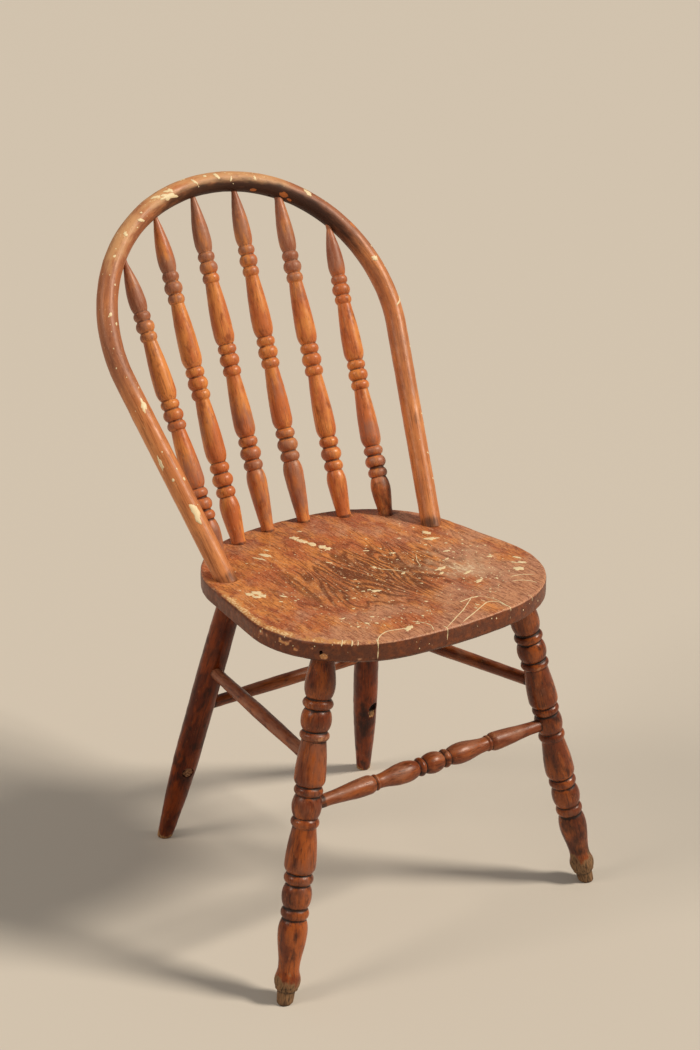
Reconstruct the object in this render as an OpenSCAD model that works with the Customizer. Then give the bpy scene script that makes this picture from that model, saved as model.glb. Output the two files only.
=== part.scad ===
// Bow-back kitchen chair with turned legs and spindles.
// The front faces -Y, left and right are as seen from the front, and the floor is Z = 0.

/* [Seat] */
// Width of the seat at its widest
seat_w = 400; // [320:1:480]
// Depth of the seat from front to back
seat_d = 409; // [340:1:490]
// Thickness of the seat plank
seat_t = 26; // [21:1:34]
// Height of the seat's front edge above the floor
seat_front_h = 455; // [380:1:550]
// Fall of the seat towards the back, in degrees
seat_slope = 1.5; // [0:0.5:4]
// Width across the two rounded back corners
seat_back_w = 374; // [300:1:450]
// Radius of the long front curve
front_bow_r = 551; // [500:1:700]
// Radius of the front corners
front_corner_r = 143; // [110:1:160]
// Radius of the long back curve
back_bow_r = 356; // [320:1:480]
// Radius of the back corners
back_corner_r = 153; // [110:1:160]
// Rounding of the top edge
top_edge = 3; // [1:0.5:6]
// Bevel under the bottom edge
bottom_edge = 4; // [1:0.5:7]
// Depth of the saddle dished out of the top
saddle_depth = 6; // [2:0.5:8]
// Radius of the saddle's rim
saddle_r = 145; // [110:1:160]
// Distance from the front edge to the saddle's centre
saddle_y = 195; // [160:1:240]

/* [Bow] */
// Diameter of the bent rod
bow_d = 27; // [22:0.5:32]
// Distance between the centres of the bow's feet
bow_foot_w = 317; // [250:1:330]
// Greatest distance between the rod's two centre lines
bow_w = 419; // [360:1:460]
// Length from the seat to the rod's centre line at the crown
bow_rise = 505; // [430:1:610]
// Radius of the crown's centre line
crown_r = 225; // [215:1:270]
// Radius of the shoulders' centre line
shoulder_r = 200; // [170:1:205]
// Lean of the bow from the vertical, in degrees
bow_lean = 33.4; // [15:0.1:36]
// Distance from the seat's front edge to the bow's feet
bow_y = 282; // [240:1:300]
// Diameter of the tenon at each foot of the bow
bow_tenon_d = 18; // [12:0.5:22]

/* [Spindles] */
// Distance between the spindles' tops, across the bow
spindle_top_pitch = 62.4; // [50:0.2:66]
// Radius of the curve that the spindles' feet stand on
spindle_arc_r = 207; // [180:1:260]
// Angle between neighbouring feet on that curve, in degrees
spindle_step = 15.6; // [12:0.1:17]
// Distance from the back edge to the middle of that curve
spindle_inset = 17.5; // [14:0.5:30]
// Diameter of the foot where it enters the seat
spindle_foot_d = 17; // [13:0.5:20]
// Diameter of the shoulder above the foot
spindle_shoulder_d = 26.4; // [22:0.2:28]
// Diameter of the two small beads of a group
spindle_bead_d = 24.6; // [20:0.2:26]
// Diameter of the grooves between beads
spindle_groove_d = 19; // [13:0.2:19]
// Diameter of the vases' bellies
spindle_belly_d = 27.2; // [22:0.2:28]
// Diameter of the vases' necks
spindle_neck_d = 18.4; // [15:0.2:20]
// Length of the plain top, from the last bead to the bow's centre line
spindle_top_l = 85; // [60:1:110]
// Widest diameter of the plain top
spindle_top_d = 22.4; // [18:0.2:25]
// Length of the feet: outermost, second and middle pair
spindle_foot_l = [50, 61, 81];
// Diameter of each top where it enters the bow, from left to right
spindle_tip_d = [6, 6.5, 7, 7, 11, 7.5];

/* [Legs] */
// Distance between the front feet's centres
front_feet_w = 477; // [380:1:560]
// Distance from the seat's front edge back to the front feet
front_feet_y = 33.6; // [0:0.2:80]
// Distance between the front legs' tops
front_tops_w = 290; // [220:1:310]
// Distance from the seat's front edge back to the front legs' tops
front_tops_y = 84; // [70:1:110]
// Distance between the back feet's centres
back_feet_w = 335; // [270:1:420]
// Distance from the seat's front edge back to the back feet
back_feet_y = 449; // [400:1:520]
// Distance between the back legs' tops
back_tops_w = 205; // [170:1:230]
// Distance from the seat's front edge back to the back legs' tops
back_tops_y = 343; // [310:1:352]
// Widest diameter of the turned front legs
front_leg_d = 38; // [30:0.2:42]
// Widest diameter of the plain back legs
back_leg_d = 34.6; // [28:0.2:40]
// Diameter of the back legs at the floor
back_foot_d = 21; // [17:0.5:28]
// Diameter of the tenons that hold the legs in the seat
leg_tenon_d = 20; // [15:0.5:24]
// Depth of every socket bored in the seat
seat_socket = 15; // [11:0.5:17]

/* [Stretchers] */
// Height of the front stretcher's centre line
front_stretcher_z = 240; // [200:1:290]
// Height of the side stretchers at the front legs
side_stretcher_front_z = 296; // [262:1:340]
// Height of the side stretchers at the back legs
side_stretcher_back_z = 273; // [240:1:320]
// Height of the back stretcher
back_stretcher_z = 215; // [160:1:238]
// Height of the lost lower stretchers at the front legs
lower_front_z = 133; // [100:1:180]
// Height of the lost lower stretchers at the back legs
lower_back_z = 114; // [80:1:150]
// How much higher the right back leg's lower socket was bored than the left one's
lower_right_rise = 10; // [0:1:15]
// Diameter of a stretcher's end in its socket
stretcher_end_d = 16; // [12:0.5:18]
// Diameter of the side and back stretchers at the middle
stretcher_mid_d = 18; // [14:0.5:22]
// Widest diameter of the turned front stretcher
front_stretcher_d = 27; // [22:0.5:32]
// Diameter of the lost lower stretchers' ends
lower_end_d = 14; // [11:0.5:16]

/* [Fits and damage] */
// Gap round every tenon and spindle in its bore
fit_gap = 0.1; // [0.05:0.05:0.3]
// Gap left at the end of every tenon
end_gap = 0.5; // [0.2:0.1:1]
// Diameter of the two old nail holes
nail_hole_d = 3.5; // [2:0.5:5]
// Depth of the two old nail holes
nail_hole_l = 8; // [5:0.5:12]
// Place of the seat's nail hole round its front left corner, in degrees from the side
seat_nail_turn = 39; // [10:1:60]
// Place of the bow's nail hole, in degrees to the right of the crown's middle
bow_nail_turn = 20.5; // [19:0.5:21]

/* [Hidden] */
$fn = 64;

LEFT = -1;
RIGHT = 1;
far = 2000;

// colours of the worn finish
seat_brown = "#8a4a2a";
bow_brown = "#8c5236";
spindle_orange = "#a0522a";
leg_brown = "#6b2f18";
back_leg_brown = "#5c2a14";
raw_wood = "#b98a5a";

// The origin lies under the middle of the overall depth, so sizes measured from the seat's front
// edge are moved forward by half of that depth.
overall_d = bow_y + bow_rise * sin(bow_lean) + bow_d / 2;
front_y = -overall_d / 2;

// Height of the seat's top plane at a distance from the front edge
function seat_z(from_front) = seat_front_h - from_front * tan(seat_slope);
// A point on the seat's top plane, and one on its underside
function on_seat(x, from_front) = [x, front_y + from_front, seat_z(from_front)];
function under_seat(x, from_front) = on_seat(x, from_front) - [0, 0, seat_t / cos(seat_slope)];
function on_floor(x, from_front) = [x, front_y + from_front, 0];

// Leg axes run from the floor to the seat's underside
function front_foot(side) = on_floor(side * front_feet_w / 2, front_feet_y);
function front_top(side) = under_seat(side * front_tops_w / 2, front_tops_y);
function back_foot(side) = on_floor(side * back_feet_w / 2, back_feet_y);
function back_top(side) = under_seat(side * back_tops_w / 2, back_tops_y);
// The point of a leg's axis at a height z
function at_height(foot, top, z) = foot + (top - foot) * z / top.z;
function on_front_leg(side, z) = at_height(front_foot(side), front_top(side), z);
function on_back_leg(side, z) = at_height(back_foot(side), back_top(side), z);
// Where the axis of a lost lower stretcher meets the axes of its legs
function lower_front(side) = on_front_leg(side, lower_front_z);
function lower_back(side) = on_back_leg(side, lower_back_z + (side == RIGHT ? lower_right_rise : 0));

// Centre line of the bow in its own plane: u across, v up along the lean
shoulder_u = bow_w / 2 - shoulder_r;
crown_v = bow_rise - crown_r;
shoulder_v = crown_v + sqrt(pow(crown_r - shoulder_r, 2) - pow(shoulder_u, 2));
crown_half_angle = asin(shoulder_u / (crown_r - shoulder_r));
foot_du = bow_foot_w / 2 - shoulder_u;
foot_reach = norm([foot_du, shoulder_v]);
limb_angle = atan2(shoulder_v, foot_du) - acos(shoulder_r / foot_reach);
limb_l = sqrt(pow(foot_reach, 2) - pow(shoulder_r, 2));
function bow_v(u) = abs(u) < crown_r * sin(crown_half_angle)
    ? crown_v + sqrt(pow(crown_r, 2) - pow(u, 2))
    : shoulder_v + sqrt(pow(shoulder_r, 2) - pow(abs(u) - shoulder_u, 2));
// Each stretch of the rod stops this far short of the next, inside the ball that joins them
seam = 0.4;
seam_bulge = 0.4;
function bow_point(u, v) = on_seat(0, bow_y) + [u, v * sin(bow_lean), v * cos(bow_lean)];

// Spindle axes run from the seat to the bow's centre line
function spindle_side(i) = i < 3 ? LEFT : RIGHT;
// How far a spindle stands from the middle: 0.5, 1.5 or 2.5 steps
function spindle_steps(i) = abs(i - 2.5);
function spindle_pair(i) = i < 3 ? i : 5 - i;
function spindle_base(i) =
    let (a = spindle_steps(i) * spindle_step)
    on_seat(spindle_side(i) * spindle_arc_r * sin(a),
        seat_d - spindle_inset - spindle_arc_r * (1 - cos(a)));
function spindle_head(i) =
    let (u = spindle_side(i) * spindle_steps(i) * spindle_top_pitch)
    bow_point(u, bow_v(u));
function spindle_base_d(i) = spindle_foot_d + (spindle_foot_l[2] - spindle_foot_l[spindle_pair(i)]) / 12;

// Puts a piece made along Z on the line from a to b, with its start at a
module along(a, b) {
    d = b - a;
    translate(a) rotate([0, acos(d.z / norm(d)), atan2(d.y, d.x)]) children();
}

// Bore from a towards b, with fit_gap all round
module bore(a, b, d, from, to) {
    along(a, b) translate([0, 0, from]) cylinder(d = d + 2 * fit_gap, h = to - from);
}

// ---- profiles: lists of [radius, height] ----

// Smooth change of radius over a height h
function ease(z, h, r0, r1, n = 8) =
    [for (i = [0:n]) [r0 + (r1 - r0) * (1 - cos(180 * i / n)) / 2, z + h * i / n]];
// The body of a vase: full near the belly, and narrowing ever faster to the neck
function narrow(z, h, belly, neck, n = 8) =
    [for (i = [0:n]) [neck + (belly - neck) * cos(90 * i / n), z + h * i / n]];
// How round a bead's flanks are: 1 gives half of an ellipse, with steep flanks, and 2 a flat parabola
bead_round = 1.5;
// Bead standing on a groove of radius g
function bead(z, h, g, r, n = 8) =
    [for (i = [0:n]) [g + (r - g) * pow(sin(180 * i / n), bead_round), z + h * (1 - cos(180 * i / n)) / 2]];
// Rounded shoulder that opens from a groove g to a radius r, or closes again
function open_out(z, h, g, r, n = 5) =
    [for (i = [0:n]) [g + (r - g) * pow(sin(90 * i / n), bead_round), z + h * (1 - cos(90 * i / n))]];
function close_in(z, h, r, g, n = 5) =
    [for (i = [0:n]) [g + (r - g) * pow(cos(90 * i / n), bead_round), z + h * sin(90 * i / n)]];
// Vase: opens over its lowest part and narrows to the neck over the rest
vase_open = 0.16;
function vase(z, h, g, belly, neck) =
    concat(open_out(z, h * vase_open, g, belly),
        narrow(z + h * vase_open, h * (1 - vase_open), belly, neck));
// Three beads, the middle one fuller, with narrow gaps
function three_beads(z, h, g, small, big) =
    concat(bead(z, h * 0.28, g, small), bead(z + h * 0.32, h * 0.35, g, big),
        bead(z + h * 0.71, h * 0.27, g, small));

// Drops a point that repeats the one before it
function tidy(p) = [for (i = [0:len(p) - 1]) if (i == 0 || norm(p[i] - p[i - 1]) > 0.02) p[i]];

// Turns a profile into a solid, closed on the axis at both ends. The start of the turn faces
// across the direction in which a piece leans, clear of where its ends are cut off.
module turned(profile) {
    p = tidy(profile);
    rotate([0, 0, 70]) rotate_extrude() polygon(concat([[0, p[0][1]]], p, [[0, p[len(p) - 1][1]]]));
}

// ---- seat ----

// Centres of the front and back corner rounds, measured from the front edge. Each corner touches
// the long curve of its edge from inside, so the outline has no kink.
front_corner = let (x = seat_w / 2 - front_corner_r)
    [x, front_bow_r - sqrt(pow(front_bow_r - front_corner_r, 2) - x * x)];
back_corner = let (x = seat_back_w / 2 - back_corner_r)
    [x, seat_d - back_bow_r + sqrt(pow(back_bow_r - back_corner_r, 2) - x * x)];
corner_step = back_corner - front_corner;
// Directions in which the curves meet each other and the straight side
front_turn = -90 + asin(front_corner.x / (front_bow_r - front_corner_r));
side_turn = atan2(corner_step.y, corner_step.x)
    - acos((front_corner_r - back_corner_r) / norm(corner_step));
back_turn = 90 - asin(back_corner.x / (back_bow_r - back_corner_r));

function arc(c, r, a0, a1, n) =
    [for (i = [0:n]) let (a = a0 + (a1 - a0) * i / n) c + r * [cos(a), sin(a)]];
// Right half of the outline, drawn inset by e from the true edge
function half_outline(e) = concat(
    arc([0, front_bow_r], front_bow_r - e, -90, front_turn, 4),
    arc(front_corner, front_corner_r - e, front_turn, side_turn, 16),
    arc(back_corner, back_corner_r - e, side_turn, back_turn, 14),
    arc([0, seat_d - back_bow_r], back_bow_r - e, back_turn, 90, 3));
function outline(e) =
    let (h = tidy(half_outline(e)), n = len(h))
    concat(h, [for (i = [n - 2:-1:1]) [-h[i].x, h[i].y]]);

// A slice of the plank between two heights, inset by e
module slab(e, z0, z1) {
    translate([0, 0, z0]) linear_extrude(z1 - z0) polygon(outline(e));
}

// The seat's own frame: origin on the front edge, top face at Z = 0
module on_seat_frame() {
    translate([0, front_y, seat_front_h]) rotate([-seat_slope, 0, 0]) children();
}

module seat_blank() {
    hull() {
        slab(0, bottom_edge - seat_t, -top_edge);
        slab(top_edge * 0.3, -seat_t / 2, -top_edge * 0.3);
        slab(top_edge, -seat_t / 2, 0);
        slab(bottom_edge, -seat_t, -seat_t / 2);
    }
}

module saddle() {
    ball_r = (pow(saddle_r, 2) + pow(saddle_depth, 2)) / (2 * saddle_depth);
    translate([0, saddle_y, ball_r - saddle_depth]) rotate([0, -90, 45]) sphere(r = ball_r, $fn = 240);
}

// Old nail hole in the edge of the front left corner, with the wood torn away under it
module seat_nail_hole() {
    chip_d = 1.6 * nail_hole_d;
    translate([-front_corner.x, front_corner.y, -seat_t * 0.55]) rotate([0, 0, 180 + seat_nail_turn])
        translate([front_corner_r, 0, 0]) {
            rotate([0, -90, 0]) translate([0, 0, -2]) cylinder(d = nail_hole_d, h = nail_hole_l + 2);
            translate([2, 3, -4]) rotate([20, -125, 0]) cylinder(d = chip_d, h = 3.4);
        }
}

module seat_sockets() {
    for (side = [LEFT, RIGHT]) {
        bore(bow_foot(side), bow_tangent(side), bow_tenon_d, -seat_socket, bow_d);
        bore(front_top(side), front_foot(side), leg_tenon_d, -seat_socket, leg_tenon_d);
        bore(back_top(side), back_foot(side), leg_tenon_d, -seat_socket, leg_tenon_d);
    }
    for (i = [0:5])
        bore(spindle_base(i), spindle_head(i), spindle_base_d(i), -seat_socket, 2 * spindle_foot_d);
}

module seat() {
    color(seat_brown) difference() {
        on_seat_frame() difference() {
            seat_blank();
            saddle();
            seat_nail_hole();
        }
        seat_sockets();
    }
}

// ---- bow ----

function bow_foot(side) = bow_point(side * bow_foot_w / 2, 0);
// Where the straight limb runs into the shoulder
function bow_tangent(side) = bow_point(
    side * (bow_foot_w / 2 + limb_l * sin(limb_angle)), limb_l * cos(limb_angle));

// Bent stretch of rod about a centre (u, v), from angle a0 to a1 in the bow's plane
module bend(u, v, r, a0, a1) {
    cut = seam / r * 180 / PI;
    translate([u, v, 0]) rotate([0, 0, a0 + cut])
        rotate_extrude(angle = a1 - a0 - 2 * cut) translate([r, 0]) circle(d = bow_d);
}

// Joins two stretches that meet at angle a round a centre (u, v): a ball a hair fatter than the rod
module seam_ball(u, v, r, a) {
    translate([u + r * cos(a), v + r * sin(a), 0]) rotate([90, 0, a]) sphere(d = bow_d + seam_bulge);
}

// The bow's plane: u along X, v up the lean
module in_bow_plane() {
    translate(on_seat(0, bow_y)) rotate([90 - bow_lean, 0, 0]) children();
}

module half_bow() {
    bend(shoulder_u, shoulder_v, shoulder_r, -limb_angle, 90 - crown_half_angle);
    seam_ball(shoulder_u, shoulder_v, shoulder_r, -limb_angle);
    seam_ball(0, crown_v, crown_r, 90 - crown_half_angle);
    translate([bow_foot_w / 2, 0, 0]) rotate([-90, 0, -limb_angle])
        translate([0, 0, -bow_d]) cylinder(d = bow_d, h = limb_l + bow_d - seam);
}

module bow_rod() {
    in_bow_plane() {
        half_bow();
        mirror([1, 0, 0]) half_bow();
        bend(0, crown_v, crown_r, 90 - crown_half_angle, 90 + crown_half_angle);
    }
}

// Old nail hole in the underside of the crown
module bow_nail_hole() {
    in_bow_plane() translate([0, crown_v, 0]) rotate([0, 0, 90 - bow_nail_turn])
        translate([crown_r - bow_d / 2 - 2, 0, 0]) rotate([0, 90, 0])
            cylinder(d = nail_hole_d, h = nail_hole_l + 2);
}

module back_bow() {
    color(bow_brown) {
        difference() {
            bow_rod();
            // feet cut off level with the seat
            on_seat_frame() translate([-far / 2, 0, -far]) cube([far, far, far]);
            for (i = [0:5])
                bore(spindle_base(i), spindle_head(i), spindle_tip_d[i],
                    spindle_l(i) - 2 * bow_d, spindle_l(i) + spindle_into_bow);
            bow_nail_hole();
        }
        for (side = [LEFT, RIGHT])
            along(bow_foot(side), bow_tangent(side))
                translate([0, 0, -seat_socket + end_gap])
                    cylinder(d = bow_tenon_d, h = seat_socket + bow_d / 2);
    }
}

// ---- spindles ----

// How far a spindle's tip passes the bow's centre line
spindle_into_bow = 3;
// The two lowest beads, the middle and the top group share this much length with two vases
bead_groups = [45, 42, 41];
vase_share = 82;
turned_share = bead_groups[0] + bead_groups[1] + bead_groups[2] + 2 * vase_share;

function spindle_l(i) = norm(spindle_head(i) - spindle_base(i));

// Foot: straight at the seat, widening to the shoulder, then closed to a groove
foot_straight = 6;
shoulder_l = 16;
function spindle_foot(l, base_r) =
    let (s = spindle_shoulder_d / 2, rise = l - shoulder_l - foot_straight)
    concat(
        [for (i = [0:8]) let (t = i / 8)
            [base_r + (s - base_r) * (t + sin(90 * t)) / 2, foot_straight + rise * t]],
        close_in(l - shoulder_l, shoulder_l, s, spindle_groove_d / 2));

// Length over which the plain top opens
top_open_l = 13;
// The straight tip starts this far below the bow's rod: outermost, second and middle pair. The
// outer spindles meet the rod at more of a slant.
tip_clear = [11, 5.5, 3];

// Foot, beads, vase, beads, vase, beads, plain top
function spindle_profile(i) =
    let (l = spindle_l(i), foot = spindle_foot_l[spindle_pair(i)], base_r = spindle_base_d(i) / 2,
        k = (l - spindle_top_l - foot) / turned_share,
        g = spindle_groove_d / 2, b = spindle_bead_d / 2, tip = spindle_tip_d[i] / 2,
        tip_l = bow_d / 2 + tip_clear[spindle_pair(i)],
        z1 = foot + k * bead_groups[0], z2 = z1 + k * vase_share,
        z3 = z2 + k * bead_groups[1], z4 = z3 + k * vase_share, z5 = z4 + k * bead_groups[2])
    concat([[base_r, -seat_socket + end_gap]],
        spindle_foot(foot, base_r),
        three_beads(foot, z1 - foot, g, b + 0.6, b + 1.5),
        vase(z1, z2 - z1, g, spindle_belly_d / 2, spindle_neck_d / 2),
        three_beads(z2, z3 - z2, g, b, b + 0.8),
        vase(z3, z4 - z3, g, spindle_belly_d / 2 - 0.2, spindle_neck_d / 2 - 0.4),
        three_beads(z4, z5 - z4, g - 0.8, b - 1.2, b - 0.3),
        open_out(z5, top_open_l, g - 0.8, spindle_top_d / 2),
        narrow(z5 + top_open_l, l - tip_l - z5 - top_open_l, spindle_top_d / 2, tip),
        [[tip, l + spindle_into_bow - end_gap]]);

module spindle(i) {
    color(spindle_orange) along(spindle_base(i), spindle_head(i)) turned(spindle_profile(i));
}

// ---- legs ----

// The leg that the front leg's cuts were laid out on is this long. Heights are stretched to the leg.
pattern_l = 440.5;
// Legs are turned this far past the floor and the seat's underside, and are cut off there
past_floor = 8;
past_seat = 12;
toe_r = 9.9;
neck_r = 13.5;

function front_leg_profile(l) =
    let (m = l / pattern_l, r = front_leg_d / 2, g = r - 4.6)
    concat(
        // foot: toe, step, ridge and ankle
        [[toe_r, -past_floor], [toe_r + 1.1, 16.5 * m], [toe_r + 3.7, 18 * m]],
        ease(18 * m, 8 * m, toe_r + 3.7, toe_r + 5.7, 4),
        ease(26 * m, 3 * m, toe_r + 5.7, toe_r + 6.1, 2),
        ease(29 * m, 16 * m, toe_r + 6.1, toe_r + 3.1, 6),
        // long swell up to the first groove
        ease(45 * m, 46 * m, toe_r + 3.1, r - 1, 8),
        close_in(91 * m, 16.5 * m, r - 1, g),
        // lower ring, ball and ring, then the lower vase
        bead(109 * m, 12.5 * m, g, r - 1.8),
        bead(123 * m, 28 * m, g, r - 0.9),
        bead(152.5 * m, 12.5 * m, g, r - 1.2),
        vase(166 * m, 57 * m, g, r, g + 0.1),
        // middle ring, ball and ring, then the upper vase
        bead(223.5 * m, 11 * m, g, r - 1.7, 6),
        bead(235.5 * m, 27 * m, g, r - 1),
        bead(263 * m, 11 * m, g, r - 1.5, 6),
        vase(274.5 * m, 56 * m, g, r, g + 0.6),
        // upper ring, ball and ring, the top ball and the neck under the seat
        bead(331 * m, 10.5 * m, g, r - 0.9, 6),
        bead(342.5 * m, 26 * m, g, r - 0.3),
        bead(369.5 * m, 12 * m, g, r - 0.5, 6),
        open_out(382 * m, 15 * m, g, r - 0.5),
        ease(397 * m, 41 * m, r - 0.5, neck_r),
        [[neck_r, l + past_seat]]);

// The back leg swells from the foot over the lower share of its length, and narrows again over the
// upper one
lower_share = 0.36;
upper_share = 0.32;
back_foot_straight = 6;
back_top_taper = 1.8;

function back_leg_profile(l) =
    let (r = back_leg_d / 2, foot_r = back_foot_d / 2)
    concat([[foot_r - 1, -past_floor], [foot_r, back_foot_straight]],
        [for (i = [1:8])
            [foot_r + (r - foot_r) * sin(90 * i / 8), back_foot_straight + l * lower_share * i / 8]],
        ease(l * (1 - upper_share), l * upper_share, r, r - back_top_taper, 4),
        [[r - back_top_taper, l + past_seat]]);

// Keeps what lies between the floor and the seat's underside
module between_floor_and_seat() {
    difference() {
        children();
        translate([-far / 2, -far / 2, -far]) cube([far, far, far]);
        on_seat_frame() translate([-far / 2, -far / 2, -seat_t]) cube([far, far, far]);
    }
}

module leg(foot, top, profile) {
    between_floor_and_seat() along(foot, top) turned(profile);
    along(top, foot) translate([0, 0, -seat_socket + end_gap])
        cylinder(d = leg_tenon_d, h = seat_socket + leg_tenon_d / 2);
}

// Sockets stop, and tenons end, a little before the leg's axis
socket_stop = 2.5;

module front_leg(side) {
    foot = front_foot(side);
    top = front_top(side);
    color(leg_brown) difference() {
        leg(foot, top, front_leg_profile(norm(top - foot)));
        bore(on_front_leg(side, front_stretcher_z), on_front_leg(-side, front_stretcher_z),
            stretcher_end_d, socket_stop, front_leg_d);
        bore(on_front_leg(side, side_stretcher_front_z), on_back_leg(side, side_stretcher_back_z),
            stretcher_end_d, socket_stop, front_leg_d);
        bore(lower_front(side), lower_back(side), lower_end_d, socket_stop, front_leg_d);
    }
}

module back_leg(side) {
    foot = back_foot(side);
    top = back_top(side);
    color(back_leg_brown) difference() {
        leg(foot, top, back_leg_profile(norm(top - foot)));
        bore(on_back_leg(side, back_stretcher_z), on_back_leg(-side, back_stretcher_z),
            stretcher_end_d, socket_stop, back_leg_d);
        bore(on_back_leg(side, side_stretcher_back_z), on_front_leg(side, side_stretcher_front_z),
            stretcher_end_d, socket_stop, back_leg_d);
        bore(lower_back(side), lower_front(side), lower_end_d, socket_stop, back_leg_d);
        if (side == RIGHT) torn_lip(side);
    }
}

// Wood torn out of the right back leg under its lower socket
torn_l = 13;
torn_depth = 3.5;
module torn_lip(side) {
    w = lower_end_d * 0.6;
    along(lower_back(side), lower_front(side))
        translate([lower_end_d * 0.55, 0, back_leg_d / 2 + 1.5]) rotate([0, 20, 0])
            translate([0, -w / 2, -torn_depth]) cube([torn_l, w, 2 * torn_depth]);
}

// ---- stretchers ----

// Length of a stretcher's straight end, which the socket hides most of
straight_end = 24;

function plain_profile(l, end_r, mid_r) = concat(
    [[end_r, socket_stop + end_gap]],
    ease(straight_end, l / 2 - straight_end, end_r, mid_r, 6),
    ease(l / 2, l / 2 - straight_end, mid_r, end_r, 6),
    [[end_r, l - socket_stop - end_gap]]);

// Half of the front stretcher, from a leg's axis to the middle: swell, small bead, vase, bead, half
// ball. Each cut's place is its distance from the middle.
swell_at = 97;
small_bead_at = 88.5;
vase_at = 83;
belly_at = 43;
bead_at = 23.5;
half_ball = 14;

function half_front_profile(h) =
    let (r = front_stretcher_d / 2, e = stretcher_end_d / 2)
    concat(
        [[e, socket_stop + end_gap]],
        ease(straight_end, h - swell_at - straight_end, e, r - 1.6, 7),
        close_in(h - swell_at, 8, r - 1.6, r - 5, 4),
        bead(h - small_bead_at, 5, r - 5, r - 3.2, 6),
        ease(h - vase_at, vase_at - belly_at, r - 4.6, r, 7),
        close_in(h - belly_at, 19, r, r - 4.8),
        bead(h - bead_at, 9, r - 4.8, r - 1.6, 6),
        open_out(h - half_ball, half_ball, r - 4.8, r));

module plain_stretcher(a, b) {
    profile = plain_profile(norm(b - a), stretcher_end_d / 2, stretcher_mid_d / 2);
    color(leg_brown) along(a, b) turned(profile);
}

module front_stretcher() {
    a = on_front_leg(LEFT, front_stretcher_z);
    b = on_front_leg(RIGHT, front_stretcher_z);
    half = half_front_profile(norm(b - a) / 2);
    other = [for (i = [len(half) - 2:-1:0]) [half[i][0], norm(b - a) - half[i][1]]];
    color(leg_brown) along(a, b) turned(concat(half, other));
}

// What is left of a lower side stretcher: its end, snapped off at the back leg's face
module lower_stub(side) {
    break_l = back_leg_d / 2 - 1;
    tooth = lower_end_d / 4;
    color(raw_wood) along(lower_back(side), lower_front(side)) difference() {
        translate([0, 0, socket_stop + end_gap])
            cylinder(d = lower_end_d, h = break_l - socket_stop - end_gap);
        translate([0, 0, break_l]) rotate([90, 0, 0])
            linear_extrude(lower_end_d * 2, center = true)
                polygon([[-2.4 * tooth, -8], [-1.5 * tooth, -5.5], [-0.9 * tooth, -6.6], [-0.2 * tooth, -3],
                    [0.5 * tooth, -4.2], [1.2 * tooth, -1], [1.7 * tooth, -2], [2.4 * tooth, 1],
                    [2.4 * tooth, 9], [-2.4 * tooth, 9]]);
    }
}

seat();
back_bow();
spindle(0);  // spindle_1
spindle(1);  // spindle_2
spindle(2);  // spindle_3
spindle(3);  // spindle_4
spindle(4);  // spindle_5
spindle(5);  // spindle_6
front_leg(LEFT);  // front_leg_left
front_leg(RIGHT);  // front_leg_right
back_leg(LEFT);  // back_leg_left
back_leg(RIGHT);  // back_leg_right
front_stretcher();
plain_stretcher(on_back_leg(LEFT, side_stretcher_back_z), on_front_leg(LEFT, side_stretcher_front_z));  // side_stretcher_left
plain_stretcher(on_back_leg(RIGHT, side_stretcher_back_z), on_front_leg(RIGHT, side_stretcher_front_z));  // side_stretcher_right
plain_stretcher(on_back_leg(LEFT, back_stretcher_z), on_back_leg(RIGHT, back_stretcher_z));  // back_stretcher
lower_stub(LEFT);  // lower_stub_left
lower_stub(RIGHT);  // lower_stub_right
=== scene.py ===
# %% [markdown]
# # A worn hoop-back kitchen chair
# The chair is eighteen pieces of turned, bent and sawn hardwood under an old red-brown varnish. The
# varnish has gone dull and dark, is rubbed through on every edge, and is splashed with cream wall
# paint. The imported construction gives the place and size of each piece, and this lesson makes the
# piece again as a fine skin that can carry wear, chips and grain.

# %% Load the chair's construction
from itertools import product
from math import pi, radians

import bpy
import numpy as np
from numpy import concatenate, cos, hypot, linspace, maximum, minimum, sin, sqrt
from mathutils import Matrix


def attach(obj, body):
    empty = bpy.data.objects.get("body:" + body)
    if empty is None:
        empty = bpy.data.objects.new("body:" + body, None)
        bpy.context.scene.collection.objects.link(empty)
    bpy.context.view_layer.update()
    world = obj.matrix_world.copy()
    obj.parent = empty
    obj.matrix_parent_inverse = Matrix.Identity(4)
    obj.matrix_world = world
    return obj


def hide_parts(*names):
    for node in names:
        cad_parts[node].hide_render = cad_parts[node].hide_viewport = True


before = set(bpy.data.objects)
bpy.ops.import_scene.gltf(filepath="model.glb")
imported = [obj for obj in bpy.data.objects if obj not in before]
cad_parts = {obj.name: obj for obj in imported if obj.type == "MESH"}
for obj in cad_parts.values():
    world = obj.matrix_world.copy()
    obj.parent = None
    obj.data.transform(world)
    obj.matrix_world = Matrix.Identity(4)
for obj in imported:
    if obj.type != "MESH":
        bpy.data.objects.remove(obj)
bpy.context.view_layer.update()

MM = 0.001

# %% [markdown]
# ## Camera, floor and light
# A chair is looked at from standing height: the lens is 1.46 m above the floor and looks down on the
# seat. Two broad lamps, one on each side, with a pale sky between them, show turned wood best: the
# beads get a soft highlight on both flanks, and the grooves stay dark.

# %% Camera
EYE, LOOK_DOWN, TURN = (-1.3171, -1.9545, 1.46), 22.57, 34.61  # metres, degrees down, degrees right
LENS, SENSOR = 68.76, 36


def show(name, data):
    """Makes an object from its data and puts it in the scene."""
    made = bpy.data.objects.new(name, data)
    bpy.context.scene.collection.objects.link(made)
    return made


camera = show("camera", bpy.data.cameras.new("camera"))
camera.location = EYE
camera.rotation_euler = (radians(90 - LOOK_DOWN), 0, radians(-TURN))
camera.data.sensor_fit = "VERTICAL"
camera.data.sensor_height = SENSOR
camera.data.lens = LENS
bpy.context.scene.camera = camera
bpy.context.scene.view_settings.view_transform = "Standard"
print("camera at", EYE)


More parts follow.
